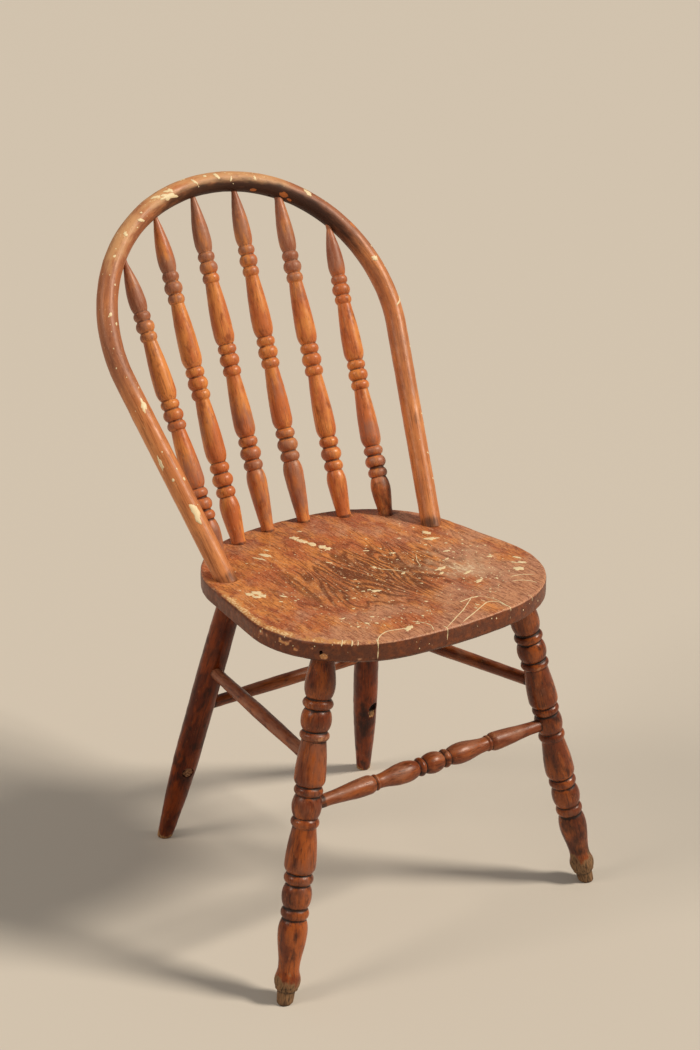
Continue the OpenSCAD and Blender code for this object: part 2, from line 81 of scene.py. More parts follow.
# %% Colours and nodes
def linear(colour):
    """Turns an sRGB hex colour to linear: c / 12.92 up to 0.04045, above it ((c + 0.055) / 1.055) ^ 2.4."""
    c = np.array([int(colour[i:i + 2], 16) for i in (1, 3, 5)]) / 255
    return (*np.where(c <= 0.04045, c / 12.92, ((c + 0.055) / 1.055) ** 2.4), 1.0)


def give(tree, node, inputs):
    """Gives a node its inputs by name or number, each a value or another node's socket."""
    for key, value in inputs.items():
        if isinstance(value, bpy.types.NodeSocket):
            tree.links.new(value, node.inputs[key])
        else:
            node.inputs[key].default_value = value


def add(tree, kind, inputs=None, **settings):
    """Adds one shader node with its settings and inputs."""
    node = tree.nodes.new("ShaderNode" + kind)
    for name, value in settings.items():
        setattr(node, name, value)
    give(tree, node, inputs or {})
    return node


def new_material(name):
    """A material with its node tree and shader."""
    material = bpy.data.materials.new(name)
    material.use_nodes = True
    return material, material.node_tree, material.node_tree.nodes["Principled BSDF"]


# %% Floor and lamps
FLOOR_HALF = 14.0
floor_mesh = bpy.data.meshes.new("studio_floor")
corners = [(x * FLOOR_HALF, y * FLOOR_HALF, 0) for x, y in ((-1, -1), (1, -1), (1, 1), (-1, 1))]
floor_mesh.from_pydata(corners, [], [(0, 1, 2, 3)])
show("studio_floor", floor_mesh)
painted_floor, tree, shader = new_material("matt_pale_floor_paint")
give(tree, shader, {"Base Color": linear("#cfc9bf"), "Roughness": 0.85, "Specular IOR Level": 0.2})
floor_mesh.materials.append(painted_floor)


def lamp(name, toward, softness, strength, colour):
    """A broad far lamp that stands in the direction toward, seen from the chair. It is softness
    degrees wide."""
    light = bpy.data.lights.new(name, "SUN")
    light.angle = radians(softness)
    light.energy, light.color = strength, linear(colour)[:3]
    x, y, z = toward
    show(name, light).rotation_euler = (np.arctan2(hypot(x, y), z), 0, np.arctan2(x, -y))


lamp("right_soft_box", (0.85, -0.8, 1.15), 12, 2.95, "#fff2e0")
lamp("left_soft_box", (-1.1, 0.2, 0.9), 20, 0.85, "#fff0dd")
world = bpy.data.worlds.new("pale_sky")
bpy.context.scene.world = world
world.use_nodes = True
give(world.node_tree, world.node_tree.nodes["Background"], {"Color": linear("#efece8"), "Strength": 0.25})
print("floor, two lamps and sky")

# %% [markdown]
# ## Unevenness
# Nothing on an old chair is quite even. One smooth random field serves every piece: it moves a
# surface by tenths of a millimetre, decides where a bead is chipped, and frays the edge of a splash.


# %% Random field
def lumps(points, size, seed=0):
    """Smooth random field from -1 to 1: each corner of a lattice of cubes has a random value, and a
    point blends the eight corners round it by 3 t^2 - 2 t^3 of its place between them."""
    cell = points / size + 1000.0
    low = np.floor(cell).astype(np.int64)
    t = cell - low
    t = t * t * (3 - 2 * t)
    total = np.zeros(cell.shape[:-1])
    for step in product((0, 1), repeat=3):
        c = low + np.array(step)
        key = c[..., 0] * 73856093 ^ c[..., 1] * 19349663 ^ c[..., 2] * 83492791 ^ (seed + 1) * 83492791
        key = ((key ^ (key >> 13)) * 1274126177) & 0xFFFFFFFF
        key = ((key ^ (key >> 16)) * 73244475) & 0xFFFFFFFF
        weight = np.prod(np.where(step, t, 1 - t), axis=-1)
        total += weight * ((key >> 8 & 0xFFFF) / 32767.5 - 1)
    return total


def ramp(value, low, high):
    """0 below low, 1 above high, and 3 t^2 - 2 t^3 between them."""
    t = np.clip((value - low) / (high - low), 0, 1)
    return t * t * (3 - 2 * t)


def patches(points, size, seed, low, high):
    """Patches of the random field: 0 where it is below low, 1 where it is above high."""
    return ramp(lumps(points, size, seed), low, high)


def joined(*parts):
    """Puts numbers or arrays side by side: x, y and z become points."""
    return np.stack(np.broadcast_arrays(*parts), -1)


def run_of(line):
    """How far along a line each of its points lies."""
    return np.append(0, np.cumsum(np.linalg.norm(np.diff(line, axis=0), axis=1)))


def walked(distance, run, line):
    """The place reached after walking a distance along a line, where run is its run_of."""
    return np.stack([np.interp(distance, run, numbers) for numbers in line.T], -1)


def angles(columns):
    """The angles of evenly spaced columns round a piece."""
    return np.arange(columns) * 2 * pi / columns


sample = lumps(np.random.default_rng(1).uniform(0, 500, (2000, 3)), 9)
print("field runs from", sample.min().round(2), "to", sample.max().round(2))

# %% [markdown]
# ## From numbers to a piece
# Every piece is a grid of points: the rows run along it and the columns run round it. The first and
# last row are each closed to one point, so the skin is watertight. Six marks go with the points.
# The wear mark says how far the varnish is rubbed, and along the bow's outer right edge it also carries a
# painted highlight. The grime mark says how much dirt has settled, and it also carries painted shade: in
# grooves, holes and sockets, just under the seat, under the stretchers, on the seat's sides and back strip,
# on the bow's inner side and over parts of the legs. "dull" says where the varnish has gone pinkish and
# lifeless, "bare" where the wood is raw, "bloom" where dark veins show through and "haze" where cream paint
# was wiped into the wood. "stock" is each point's place in the square blank that the piece was cut from, in
# mm with the grain along its third number, so that the grain runs through the wood and not round it.

# %% Skin over a grid
# Of these marks, wear also carries a painted highlight and grime also carries painted shade.
MARKS = ("wear_and_highlight", "dirt_and_shade", "dull", "bare", "bloom", "haze")


def faces_of(rows, columns):
    """Quads between the rows, and two fans of triangles that close the ends."""
    r, c = np.meshgrid(np.arange(rows - 1), np.arange(columns), indexing="ij")
    here, beside = r * columns + c, r * columns + (c + 1) % columns
    quads = np.stack([here, beside, beside + columns, here + columns], -1).reshape(-1, 4)
    k = np.arange(columns)
    n, last, pole = (k + 1) % columns, (rows - 1) * columns, np.full(columns, rows * columns)
    return quads, concatenate([np.stack([n, k, pole], -1), np.stack([last + k, last + n, pole + 1], -1)])


def six_volumes(vertices, faces):
    """Six times the volume between the faces and the first vertex, negative if they face inwards."""
    at = [vertices[faces[:, i]] - vertices[0] for i in range(faces.shape[1])]
    return sum((np.cross(at[0], at[i]) * at[i + 1]).sum() for i in range(1, len(at) - 1))


def with_ends(grid):
    """The grid's values as a list, followed by the averages of its first and last row."""
    rows, columns, numbers = grid.shape
    return concatenate([grid.reshape(rows * columns, numbers), grid[:1].mean(1), grid[-1:].mean(1)])


def piece(name, grids, material, node=None):
    """Makes one mesh object from grids. A grid is (points in mm, marks, stock), with marks a dict of
    arrays. The faces of a grid that came out facing inwards are turned round."""
    places, corners, counts, total = [], [], [], 0
    values = {m: [] for m in MARKS + ("stock",)}
    for points, marks, stock in grids:
        vertices = with_ends(points)
        both = faces_of(*points.shape[:2])
        inward = sum(six_volumes(vertices, faces) for faces in both) < 0
        for faces in both:
            corners.append((faces[:, ::-1] if inward else faces).ravel() + total)
            counts.append(np.full(len(faces), faces.shape[1]))
        places.append(vertices)
        total += len(vertices)
        values["stock"].append(with_ends(stock).ravel())
        for m in MARKS:
            mark = np.broadcast_to(marks.get(m, 0.0), points.shape[:2])
            values[m].append(with_ends(mark[..., None]).ravel())
    corners, counts = concatenate(corners), concatenate(counts)
    mesh = bpy.data.meshes.new(name)
    mesh.vertices.add(total)
    mesh.vertices.foreach_set("co", (concatenate(places) * MM).ravel())
    mesh.loops.add(len(corners))
    mesh.loops.foreach_set("vertex_index", corners)
    mesh.polygons.add(len(counts))
    mesh.polygons.foreach_set("loop_start", np.cumsum(counts) - counts)
    mesh.polygons.foreach_set("use_smooth", np.ones(len(counts), bool))
    for m, numbers in values.items():
        kind, item = ("FLOAT_VECTOR", "vector") if m == "stock" else ("FLOAT", "value")
        layer = mesh.attributes.new(m, kind, "POINT")
        layer.data.foreach_set(item, concatenate(numbers).astype(np.float32))
    mesh.update(calc_edges=True)
    mesh.materials.append(material)
    made = show(name, mesh)
    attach(made, "root")
    if node:
        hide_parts(node)
    print(f"{name}: {total} points, {len(corners) - 2 * len(counts)} triangles")


# %% [markdown]
# ## Finishes
# Each finish is a ground colour with layers over it, as it is on the chair: veins in the wood, clouds in the
# varnish, dull places, rubbed places, then dirt. The rubbed layers also carry the bow's painted highlight,
# and the dirt layers carry painted shade as well as dirt. A layer is where a mark and a random pattern
# together pass a level. Patterns are stretched along the grain, and their sizes are in millimetres.


# %% Layered finish
RINGS, RINGS_BROKEN = 13, 0.32  # how many growth rings, and how far the fibres fray them


def reckon(tree, operation, *values):
    """Adds one node that reckons with its values, and gives its result."""
    return add(tree, "Math", dict(enumerate(values)), operation=operation).outputs[0]


def noise(tree, stock, scale, shift=(0, 0, 0), **settings):
    """A cloudy pattern over the stock, with its scale and shift in each direction."""
    place = add(tree, "Mapping", {"Vector": stock, "Scale": scale, "Location": shift}).outputs[0]
    return add(tree, "TexNoise", {"Vector": place, "Scale": 1.0, **settings}).outputs["Fac"]


def finish(name, ground, roughness, layers, relief=0.3, specular=0.5):
    """A material of layers. Each layer is (mark or None, (width, length) of its pattern in mm, how
    strongly the pattern counts, (level where it starts, level where it is full), opacity, colour,
    roughness, height in mm). A pattern of kind "rings" is growth rings instead: they are the contour
    lines of a smooth field, RINGS of them over its range, broken up along the fibres."""
    material, tree, shader = new_material(name)
    stock = add(tree, "Attribute", attribute_name="stock").outputs["Vector"]
    base = add(tree, "Mix", {6: linear(ground), 7: linear(ground)}, data_type="RGBA").outputs[2]
    rough, height = add(tree, "Value").outputs[0], 0.0
    rough.default_value = roughness
    for number, (mark, size, count, level, opacity, colour, layer_rough, lift) in enumerate(layers):
        across, along = size[-2:]
        scale, shift = (1 / across, 1 / across, 1 / along), (number * 7.3, number * 3.1, number * 5.7)
        if size[0] == "rings":
            field = noise(tree, stock, scale, shift, Detail=1.6, Roughness=0.35, Distortion=0.5)
            lines = reckon(tree, "SINE", reckon(tree, "MULTIPLY", field, 2 * pi * RINGS))
            fibres = noise(tree, stock, (1.1, 1.1, 0.09), Detail=3.0)
            value = reckon(tree, "MULTIPLY_ADD", lines, RINGS_BROKEN, fibres)
        else:
            value = noise(tree, stock, scale, shift, Detail=4.0, Roughness=0.6)
        if mark:
            at_mark = add(tree, "Attribute", attribute_name=mark).outputs["Fac"]
            value = reckon(tree, "MULTIPLY_ADD", reckon(tree, "SUBTRACT", value, 0.5), count, at_mark)
        mask = add(tree, "MapRange", {"Value": value, "From Min": level[0], "From Max": level[1],
                                      "To Max": opacity}, interpolation_type="SMOOTHSTEP").outputs[0]
        base = add(tree, "Mix", {0: mask, 6: base, 7: linear(colour)}, data_type="RGBA").outputs[2]
        rough = add(tree, "Mix", {0: mask, 2: rough, 3: layer_rough}).outputs[0]
        if lift:
            height = reckon(tree, "MULTIPLY_ADD", mask, lift, height)
    bump = add(tree, "Bump", {"Strength": 1.0, "Distance": relief * MM, "Height": height}).outputs["Normal"]
    give(tree, shader, {"Specular IOR Level": specular, "IOR": 1.5, "Base Color": base, "Roughness": rough,
                        "Normal": bump})
    return material


# %% [markdown]
# The turned pieces share one way of ageing, and each family has its own colours. The spindles are
# orange where the varnish is thick, and dull with pale ridges where it is worn. The legs are darker,
# and their feet are nearly bare.


# %% Varnish on the turned pieces
def old_varnish(name, ground, bright, vein, dull, rubbed, raw, dirt_and_shade_colour, roughness, specular):
    """Red-brown varnish over hardwood: bright and dark clouds, dark veins, a dull film with veins of its own,
    dark and pale specks, rubbed and then raw ridges, bare wood with dirty cracks, and near-black dirt with
    painted shade in the grooves, holes and shaded places."""
    return finish(name, ground, roughness, [
        (None, (18, 55), 1, (0.42, 0.6), 0.8, bright, roughness - 0.03, 0),
        (None, (12, 30), 1, (0.54, 0.7), 0.75, vein, roughness + 0.02, 0),
        (None, (1.8, 34), 1, (0.5, 0.68), 0.6, vein, roughness + 0.08, -0.25),
        ("dull", (6, 24), 1.4, (0.25, 0.85), 0.85, dull, 0.45, 0.1),
        ("dull", (2.4, 16), 2.0, (0.7, 1.15), 0.6, vein, 0.5, -0.2),
        (None, (2.0, 5), 1, (0.6, 0.72), 0.6, vein, roughness + 0.1, -0.3),
        (None, (1.5, 7), 1, (0.63, 0.74), 0.6, rubbed, 0.5, -0.2),
        ("wear_and_highlight", (3, 8), 1.9, (0.55, 1.00), 0.75, rubbed, 0.45, -0.3),
        ("wear_and_highlight", (1.8, 5), 2.6, (1.00, 1.25), 0.9, raw, 0.7, -0.4),
        ("bare", (3, 10), 1.4, (0.35, 0.8), 0.9, raw, 0.75, -0.3),
        ("bare", (1.2, 14), 1.8, (0.75, 1.1), 0.8, dirt_and_shade_colour, 0.8, -0.6),
        # Near-black layer for dirt and for painted shade in grooves, holes and shaded places.
        ("dirt_and_shade", (5, 10), 0.8, (0.22, 0.8), 0.92, dirt_and_shade_colour, 0.55, 0.2),
    ], specular=specular)


spindle_varnish = old_varnish("old_orange_varnish", "#ca7340", "#e89850", "#8e4824", "#a2705a",
                              "#e0b48e", "#ecc896", "#3a1a0c", 0.35, 0.4)
front_leg_varnish = old_varnish("old_dark_red_varnish", "#723417", "#ac5a26", "#2a0e06", "#865038",
                                "#c08860", "#8a6a48", "#120703", 0.28, 0.35)
back_leg_varnish = old_varnish("old_dark_brown_varnish", "#561d05", "#8a3a0c", "#220a03", "#603018",
                               "#a8683a", "#b0865a", "#100502", 0.32, 0.22)
stretcher_varnish = old_varnish("dull_red_varnish", "#7c3b1a", "#a65a2a", "#2e1206", "#9c6448",
                                "#c69266", "#c09868", "#180a04", 0.34, 0.35)

# %% [markdown]
# The bow has lost most of its varnish over the left shoulder and the crown, where people take hold of
# the chair. What is left there is a patchwork of tan wood, cream paint and grey dirt.

# %% Varnish on the bow
bow_varnish = finish("worn_bow_varnish", "#c77c4a", 0.34, [
    (None, (22, 80), 1, (0.4, 0.6), 0.8, "#de935a", 0.32, 0),
    (None, (1.8, 34), 1, (0.48, 0.66), 0.55, "#85451f", 0.45, -0.25),
    ("dull", (9, 40), 1.2, (0.25, 0.8), 0.8, "#9c6144", 0.46, 0.1),
    ("dull", (2.6, 12), 1.8, (0.75, 1.2), 0.5, "#6a3822", 0.52, -0.2),
    (None, (1.8, 10), 1, (0.58, 0.72), 0.5, "#633019", 0.6, -0.3),
    (None, (1.8, 2.6), 1, (0.62, 0.74), 0.6, "#e2bd94", 0.6, -0.1),
    # Rubbed layers; along the outer right edge they also paint a highlight.
    ("wear_and_highlight", (9, 26), 1.3, (0.4, 0.85), 0.9, "#cf9c6c", 0.52, -0.3),
    ("wear_and_highlight", (2.6, 6), 2.0, (0.95, 1.3), 0.8, "#e6c694", 0.65, -0.4),
    ("wear_and_highlight", (4, 9), -2.4, (1.00, 1.4), 0.7, "#7d5236", 0.65, 0.2),
    ("bare", (2, 6), 0.6, (0.4, 0.6), 0.95, "#cd7a3e", 0.6, -0.5),
    # Dark brown for dirt and for the painted shade on the inner side.
    ("dirt_and_shade", (6, 22), 0.9, (0.1, 0.9), 0.92, "#2a140a", 0.6, 0.2),
], specular=0.35)

# %% [markdown]
# The seat shows the most. It is a coarse hardwood with dark open veins that sweep across the scoop,
# orange where the varnish is thick, hazy and pinkish where it is scuffed, and raw yellow at the front
# left corner, where a leg slides over it.

# %% Varnish on the seat
seat_varnish = finish("worn_seat_varnish", "#bd6c40", 0.4, [
    (None, (45, 80), 1, (0.42, 0.58), 0.85, "#e2944e", 0.38, 0),
    (None, (24, 50), 1, (0.5, 0.68), 0.8, "#9c5034", 0.42, 0),
    ("dull", (28, 40), 1.8, (0.3, 0.9), 0.75, "#c69274", 0.5, 0.1),
    ("bloom", (34, 60), 1.0, (0.45, 1.00), 0.45, "#c98349", 0.45, 0),
    (None, (1.5, 15), 1, (0.47, 0.62), 0.6, "#78402a", 0.48, -0.25),
    ("bloom", ("rings", 44, 150), 1.1, (0.62, 1.02), 0.75, "#5e2e14", 0.5, -0.3),
    ("bloom", (12, 34), 2.2, (0.95, 1.4), 0.4, "#6b3f26", 0.55, 0),
    ("bloom", (1.4, 14), 2.6, (0.85, 1.25), 0.6, "#4a2712", 0.55, -0.3),
    (None, (9, 14), 1, (0.54, 0.7), 0.42, "#7c3b26", 0.48, 0),
    (None, (2.4, 4.5), 1, (0.55, 0.66), 0.55, "#683420", 0.55, -0.2),
    (None, (2.4, 3.6), 1, (0.57, 0.68), 0.6, "#e4bb90", 0.58, 0),
    (None, (5, 16), 1, (0.57, 0.71), 0.55, "#e0ad84", 0.58, 0),
    ("haze", (14, 22), 1.8, (0.35, 1.00), 0.6, "#cfa583", 0.55, 0.1),
    ("haze", (3, 8), 1.8, (0.75, 1.25), 0.7, "#efdcba", 0.6, 0.1),
    ("wear_and_highlight", (5, 10), 2.4, (0.55, 0.95), 0.85, "#d0945a", 0.58, -0.3),
    ("wear_and_highlight", (2.2, 4), 2.6, (0.95, 1.3), 0.9, "#f0cc98", 0.7, -0.4),
    # Dirt, and the painted shade on the seat's sides and back strip.
    ("dirt_and_shade", (16, 8), 0.5, (0.2, 0.6), 0.93, "#58260f", 0.44, 0.1),
    ("dirt_and_shade", (9, 5), 1.6, (0.5, 0.95), 0.65, "#8f4a20", 0.45, 0),
    ("dirt_and_shade", (3, 5), 1.8, (0.72, 1.15), 0.95, "#241008", 0.58, 0.2),
], specular=0.4)
print("finishes:", [m.name for m in bpy.data.materials])

# %% [markdown]
# Cream wall paint has splashed on the chair and dried in drops. It is thick, slightly yellowed and
# cracked, with a dull gloss. Where a stretcher broke out of its socket the wood is raw and fibrous.

# %% Paint and raw wood
cream_paint = finish("dried_cream_paint", "#ecd9ae", 0.5, [
    (None, (1.6, 1.6), 1, (0.5, 0.72), 0.5, "#d9bd8c", 0.6, -0.5),
    (None, (5, 5), 1, (0.52, 0.66), 0.4, "#f7ecd0", 0.45, 0.2),
], relief=0.2)
split_wood = finish("split_raw_wood", "#b4805c", 0.8, [
    (None, (1.6, 9), 1, (0.46, 0.6), 0.75, "#7a4c34", 0.85, -0.8),
    (None, (2.5, 6), 1, (0.54, 0.68), 0.8, "#d6a47a", 0.8, 0.4),
    # Near-black for the painted shade deep in the socket.
    ("dirt_and_shade", (2, 2), 0.8, (0.4, 0.8), 0.95, "#1d0f09", 0.8, 0),
], relief=0.5)

# %% [markdown]
# ## The turner's vocabulary
# A turner works from a few cuts: the bead, the shoulder that opens, the shoulder that closes, the long
# ease from one diameter to another, and the vase, which is a shoulder and then a narrowing neck. Each
# is a short list of radius and height, and a leg or spindle is these lists one after the other.


# %% Cuts
ROUND = 1.5  # 1 would make a bead an ellipse with steep flanks, and 2 a flat parabola
VASE_OPENS = 0.16


def ease(z, h, r0, r1):
    """From radius r0 to r1 over a height h, as half a cosine wave."""
    t = linspace(0, 1, 25)
    return joined(r0 + (r1 - r0) * (1 - cos(pi * t)) / 2, z + h * t)


def bead(z, h, groove, r, end=pi, points=31):
    """A round ridge of height h on a groove: its rise is sin(t) ^ ROUND while its height runs as
    1 - cos(t), for t from 0 to end."""
    t = linspace(0, end, points)
    return joined(groove + (r - groove) * sin(t) ** ROUND, z + h * (1 - cos(t)) / 2)


def open_out(z, h, groove, r):
    """The first half of such a ridge, from a groove out to radius r."""
    return bead(z, 2 * h, groove, r, pi / 2, 17)


def close_in(z, h, r, groove):
    """The second half, from radius r in to a groove."""
    t = linspace(0, pi / 2, 17)
    return joined(groove + (r - groove) * np.abs(cos(t)) ** ROUND, z + h * sin(t))


def narrow(z, h, belly, neck):
    """From a belly to a neck over a height h, as a quarter of a cosine wave: full, then ever faster."""
    t = linspace(0, 1, 25)
    return joined(neck + (belly - neck) * cos(pi / 2 * t), z + h * t)


def vase(z, h, groove, belly, neck):
    """A shoulder that opens over the lowest sixth, then narrows to the neck."""
    opening = h * VASE_OPENS
    return concatenate([open_out(z, opening, groove, belly),
                        narrow(z + opening, h * (1 - VASE_OPENS), belly, neck)])


def three_beads(z, h, groove, small, big):
    """Two small beads with a fuller one between them."""
    rows = (0, 0.28, small), (0.32, 0.35, big), (0.71, 0.27, small)
    return concatenate([bead(z + h * start, h * share, groove, r) for start, share, r in rows])


def cuts(scale, rows):
    """Cuts one after another: each row is a kind, where it starts, its height, and its radii."""
    return [kind(z * scale, h * scale, *radii) for kind, z, h, *radii in rows]


def spaced(low, high, step, busy=()):
    """Places from low to high, step apart, and up to five times closer near each busy (place, reach)."""
    fine = linspace(low, high, 4000)
    density = np.ones_like(fine)
    for place, reach in busy:
        density += 4 * np.exp(-((fine - place) / reach) ** 4)
    amount = concatenate([[0], np.cumsum((density[1:] + density[:-1]) / 2 * np.diff(fine))])
    return np.interp(linspace(0, amount[-1], int(amount[-1] / step) + 1), amount, fine)


print("a bead of 10 mm on a 17.6 mm groove has", len(bead(0, 10, 8.8, 11.5)), "points")

# %% [markdown]
# A turned piece is made upright, with its marks, and then leaned to the line between its two ends.
# The sharp outer edges are worn, and the grooves are darkened with dirt and painted shade, so both marks come
# from the profile itself: its radius less the average radius of the wood a few millimetres either side.

# %% Turning and leaning
X, Y, Z = np.eye(3)
UNEVEN = (0.22, 34), (0.14, 9), (0.06, 3.4)  # height of the unevenness, and size of its lumps


def unit(v):
    """The vector v made one long."""
    return v / np.linalg.norm(v)


def leaned(points, foot, top):
    """Carries upright points to the line from foot to top: x across, y square to it, z along it."""
    along = unit(top - foot)
    across = unit(X - along * (X @ along)) if abs(X @ along) < 0.9 else unit(Y - along * (Y @ along))
    beside = np.cross(along, across)
    return foot + points[..., :1] * across + points[..., 1:2] * beside + points[..., 2:] * along


def turned(profile, step, columns, seed, busy=(), dents=1.0, chips=1.0):
    """Turns a profile round Z. Returns upright points and their marks. Radius is the profile's, plus
    a tenth of a millimetre or so of unevenness, less a chip where a ridge meets a high random value."""
    profile = profile[np.append(True, np.abs(np.diff(profile, axis=0)).sum(1) > 1e-6)]
    run = run_of(profile)
    places = [(np.interp(h, profile[:, 1], run), reach) for h, reach in busy]
    radius, height = walked(spaced(0, run[-1], step, places), run, profile).T[..., None]
    level = np.arange(profile[0, 1] - 20, profile[-1, 1] + 20, 0.5)
    outline = np.interp(level, profile[:, 1], profile[:, 0])
    kernel = np.hanning(31) / np.hanning(31).sum()
    ridge = radius - np.interp(height, level, np.convolve(np.pad(outline, 15, "edge"), kernel, "valid"))
    angle = angles(columns)
    upright = joined(radius * cos(angle), radius * sin(angle), height)
    field = upright + np.array([131.0, 57.0, 211.0]) * seed
    ridge = np.broadcast_to(ridge, field.shape[:2])
    out = dents * sum(much * lumps(field, size) for much, size in UNEVEN)
    chip = chips * patches(field, 5.5, 3, 0.35, 0.75) * ramp(ridge, 0.4, 1.6)
    scale = 1 + (out - 0.9 * chip) / radius
    upright = upright * joined(scale, scale, 1.0)
    # Ridges are rubbed; grooves are darkened with dirt and painted shade.
    marks = {"wear_and_highlight": np.clip(ridge / 2.2, 0, 0.75) + 0.6 * chip, "dirt_and_shade": np.clip(-ridge / 1.9, 0, 1)}
    return upright, marks, field


# %% [markdown]
# ## Where things are
# The seat's top plane and the lines of the legs, bow and spindles follow the construction's own
# driving sizes. All are in millimetres, measured back from the seat's front edge and up from the floor.

# %% Driving sizes
SEAT_HEIGHT, SEAT_SLOPE, SEAT_THICK = 455, np.tan(radians(1.5)), 26
BOW_D, BOW_FOOT_W, BOW_W, BOW_RISE = 27, 317, 419, 505
CROWN_R, SHOULDER_R, BOW_LEAN, BOW_BACK = 225, 200, radians(33.4), 282
FRONT = -(BOW_BACK + BOW_RISE * sin(BOW_LEAN) + BOW_D / 2) / 2
SIDES = {"left": -1, "right": 1}


def on_seat(x, back):
    """The point of the seat's top plane at x and a distance back from the front edge."""
    return np.array([x, FRONT + back, SEAT_HEIGHT - back * SEAT_SLOPE])


FRONT_LEGS, BACK_LEGS = (477, 33.6, 290, 84), (335, 449, 205, 343)  # feet apart and back, tops the same


def leg_line(side, feet_w, feet_back, tops_w, tops_back):
    """Foot and top of a leg's axis: on the floor and on the seat's underside."""
    foot = np.array([side * feet_w / 2, FRONT + feet_back, 0])
    top = on_seat(side * tops_w / 2, tops_back) - Z * SEAT_THICK / cos(np.arctan(SEAT_SLOPE))
    return foot, top


def at_height(line, z):
    """The point of a leg's axis at height z."""
    foot, top = line
    return foot + (top - foot) * z / top[2]


front_line = {side: leg_line(sign, *FRONT_LEGS) for side, sign in SIDES.items()}
back_line = {side: leg_line(sign, *BACK_LEGS) for side, sign in SIDES.items()}
print("front leg is", round(np.linalg.norm(front_line["left"][1] - front_line["left"][0]), 1), "mm long")

# %% [markdown]
# ## Legs
# The front legs are turned from end to end: a foot with a ridge, an ankle, and three groups of ring,
# ball and ring with vases between them. The back legs are plain and swell gently. Feet are sawn flat to
# the floor although the legs splay, so the lowest rows are pulled to the floor one column at a time.


# %% Leg profiles
PATTERN_LENGTH, INTO_SEAT = 440.5, 8


def front_leg_profile(length):
    """The front leg's cuts from floor to seat, for a leg of the given length."""
    m, r, g = length / PATTERN_LENGTH, 19.0, 19.0 - 4.6
    foot = [[8.6, 0], [10.0, 2.0], [11.0, 16.5 * m], [13.6, 18 * m]]
    return concatenate([foot, *cuts(m, [
        (ease, 18, 8, 13.6, 15.6), (ease, 26, 3, 15.6, 16.0), (ease, 29, 16, 16.0, 13),
        (ease, 45, 46, 13, r - 1.0), (close_in, 91, 16.5, r - 1.0, g),
        (bead, 109, 12.5, g, r - 1.8), (bead, 123, 28, g, r - 0.9), (bead, 152.5, 12.5, g, r - 1.2),
        (vase, 166, 57, g, r, g + 0.1),
        (bead, 223.5, 11, g, r - 1.7), (bead, 235.5, 27, g, r - 1.0), (bead, 263, 11, g, r - 1.5),
        (vase, 274.5, 56, g, r, g + 0.6),
        (bead, 331, 10.5, g, r - 0.9), (bead, 342.5, 26, g, r - 0.3), (bead, 369.5, 12, g, r - 0.5),
        (open_out, 382, 15, g, r - 0.5), (ease, 397, 41, r - 0.5, 13.6)]), [[13.5, length + INTO_SEAT]]])


def back_leg_profile(length):
    """Foot, quick swell over the lowest third, then a slight taper to the seat."""
    t = linspace(0, 1, 30)
    swell = joined(10.5 + 6.8 * sin(pi / 2 * t), 6 + length * 0.36 * t)
    return concatenate([[[8.9, 0], [10.0, 1.2]], swell, ease(length * 0.68, length * 0.32, 17.3, 15.5),
                        [[15.5, length + INTO_SEAT]]])


# %% Sockets, and feet sawn level
SAWN = 12  # the height over which a foot is pulled level, in mm


def sawn_level(upright, foot, top):
    """Slides the lowest part of each column along the leg so that the first row lies on the floor."""
    heights = leaned(upright * [1, 1, 0], foot, top)[..., 2:]
    return upright - Z * heights / unit(top - foot)[2] * np.clip(1 - upright[..., 2:] / SAWN, 0, 1)


def bored(points, marks, centre, toward, radius, floor_at):
    """Sinks the part of a skin within radius of the line from centre to toward, down to a flat floor floor_at
    mm from the centre, and darkens the hole and its rim with painted shade."""
    line = unit(toward - centre)
    reach = (points - centre) @ line
    off = np.linalg.norm(points - centre - reach[..., None] * line, axis=-1)
    inside = np.clip((radius - off) / 0.6 + 0.5, 0, 1) * (reach > 0)
    sunk = points - ((reach - floor_at) * inside)[..., None] * line
    rim = ramp(off, radius + 2.5, radius - 0.5) * (reach > 0)
    return sunk, {**marks, "dirt_and_shade": maximum(marks["dirt_and_shade"], 0.75 * rim + 0.4 * inside)}


def rough_leg(profile, line, socket, step, columns, seed, reach, dents):
    """A leg turned from its profile and sawn level, with rows closer together near its socket."""
    foot, top = line
    length = np.linalg.norm(top - foot)
    upright, marks, stock = turned(profile(length), step, columns, seed,
                                   [(np.linalg.norm(socket - foot), reach)], dents)
    upright = sawn_level(upright, foot, top)
    return leaned(upright, foot, top), marks, stock, upright[..., 2], length


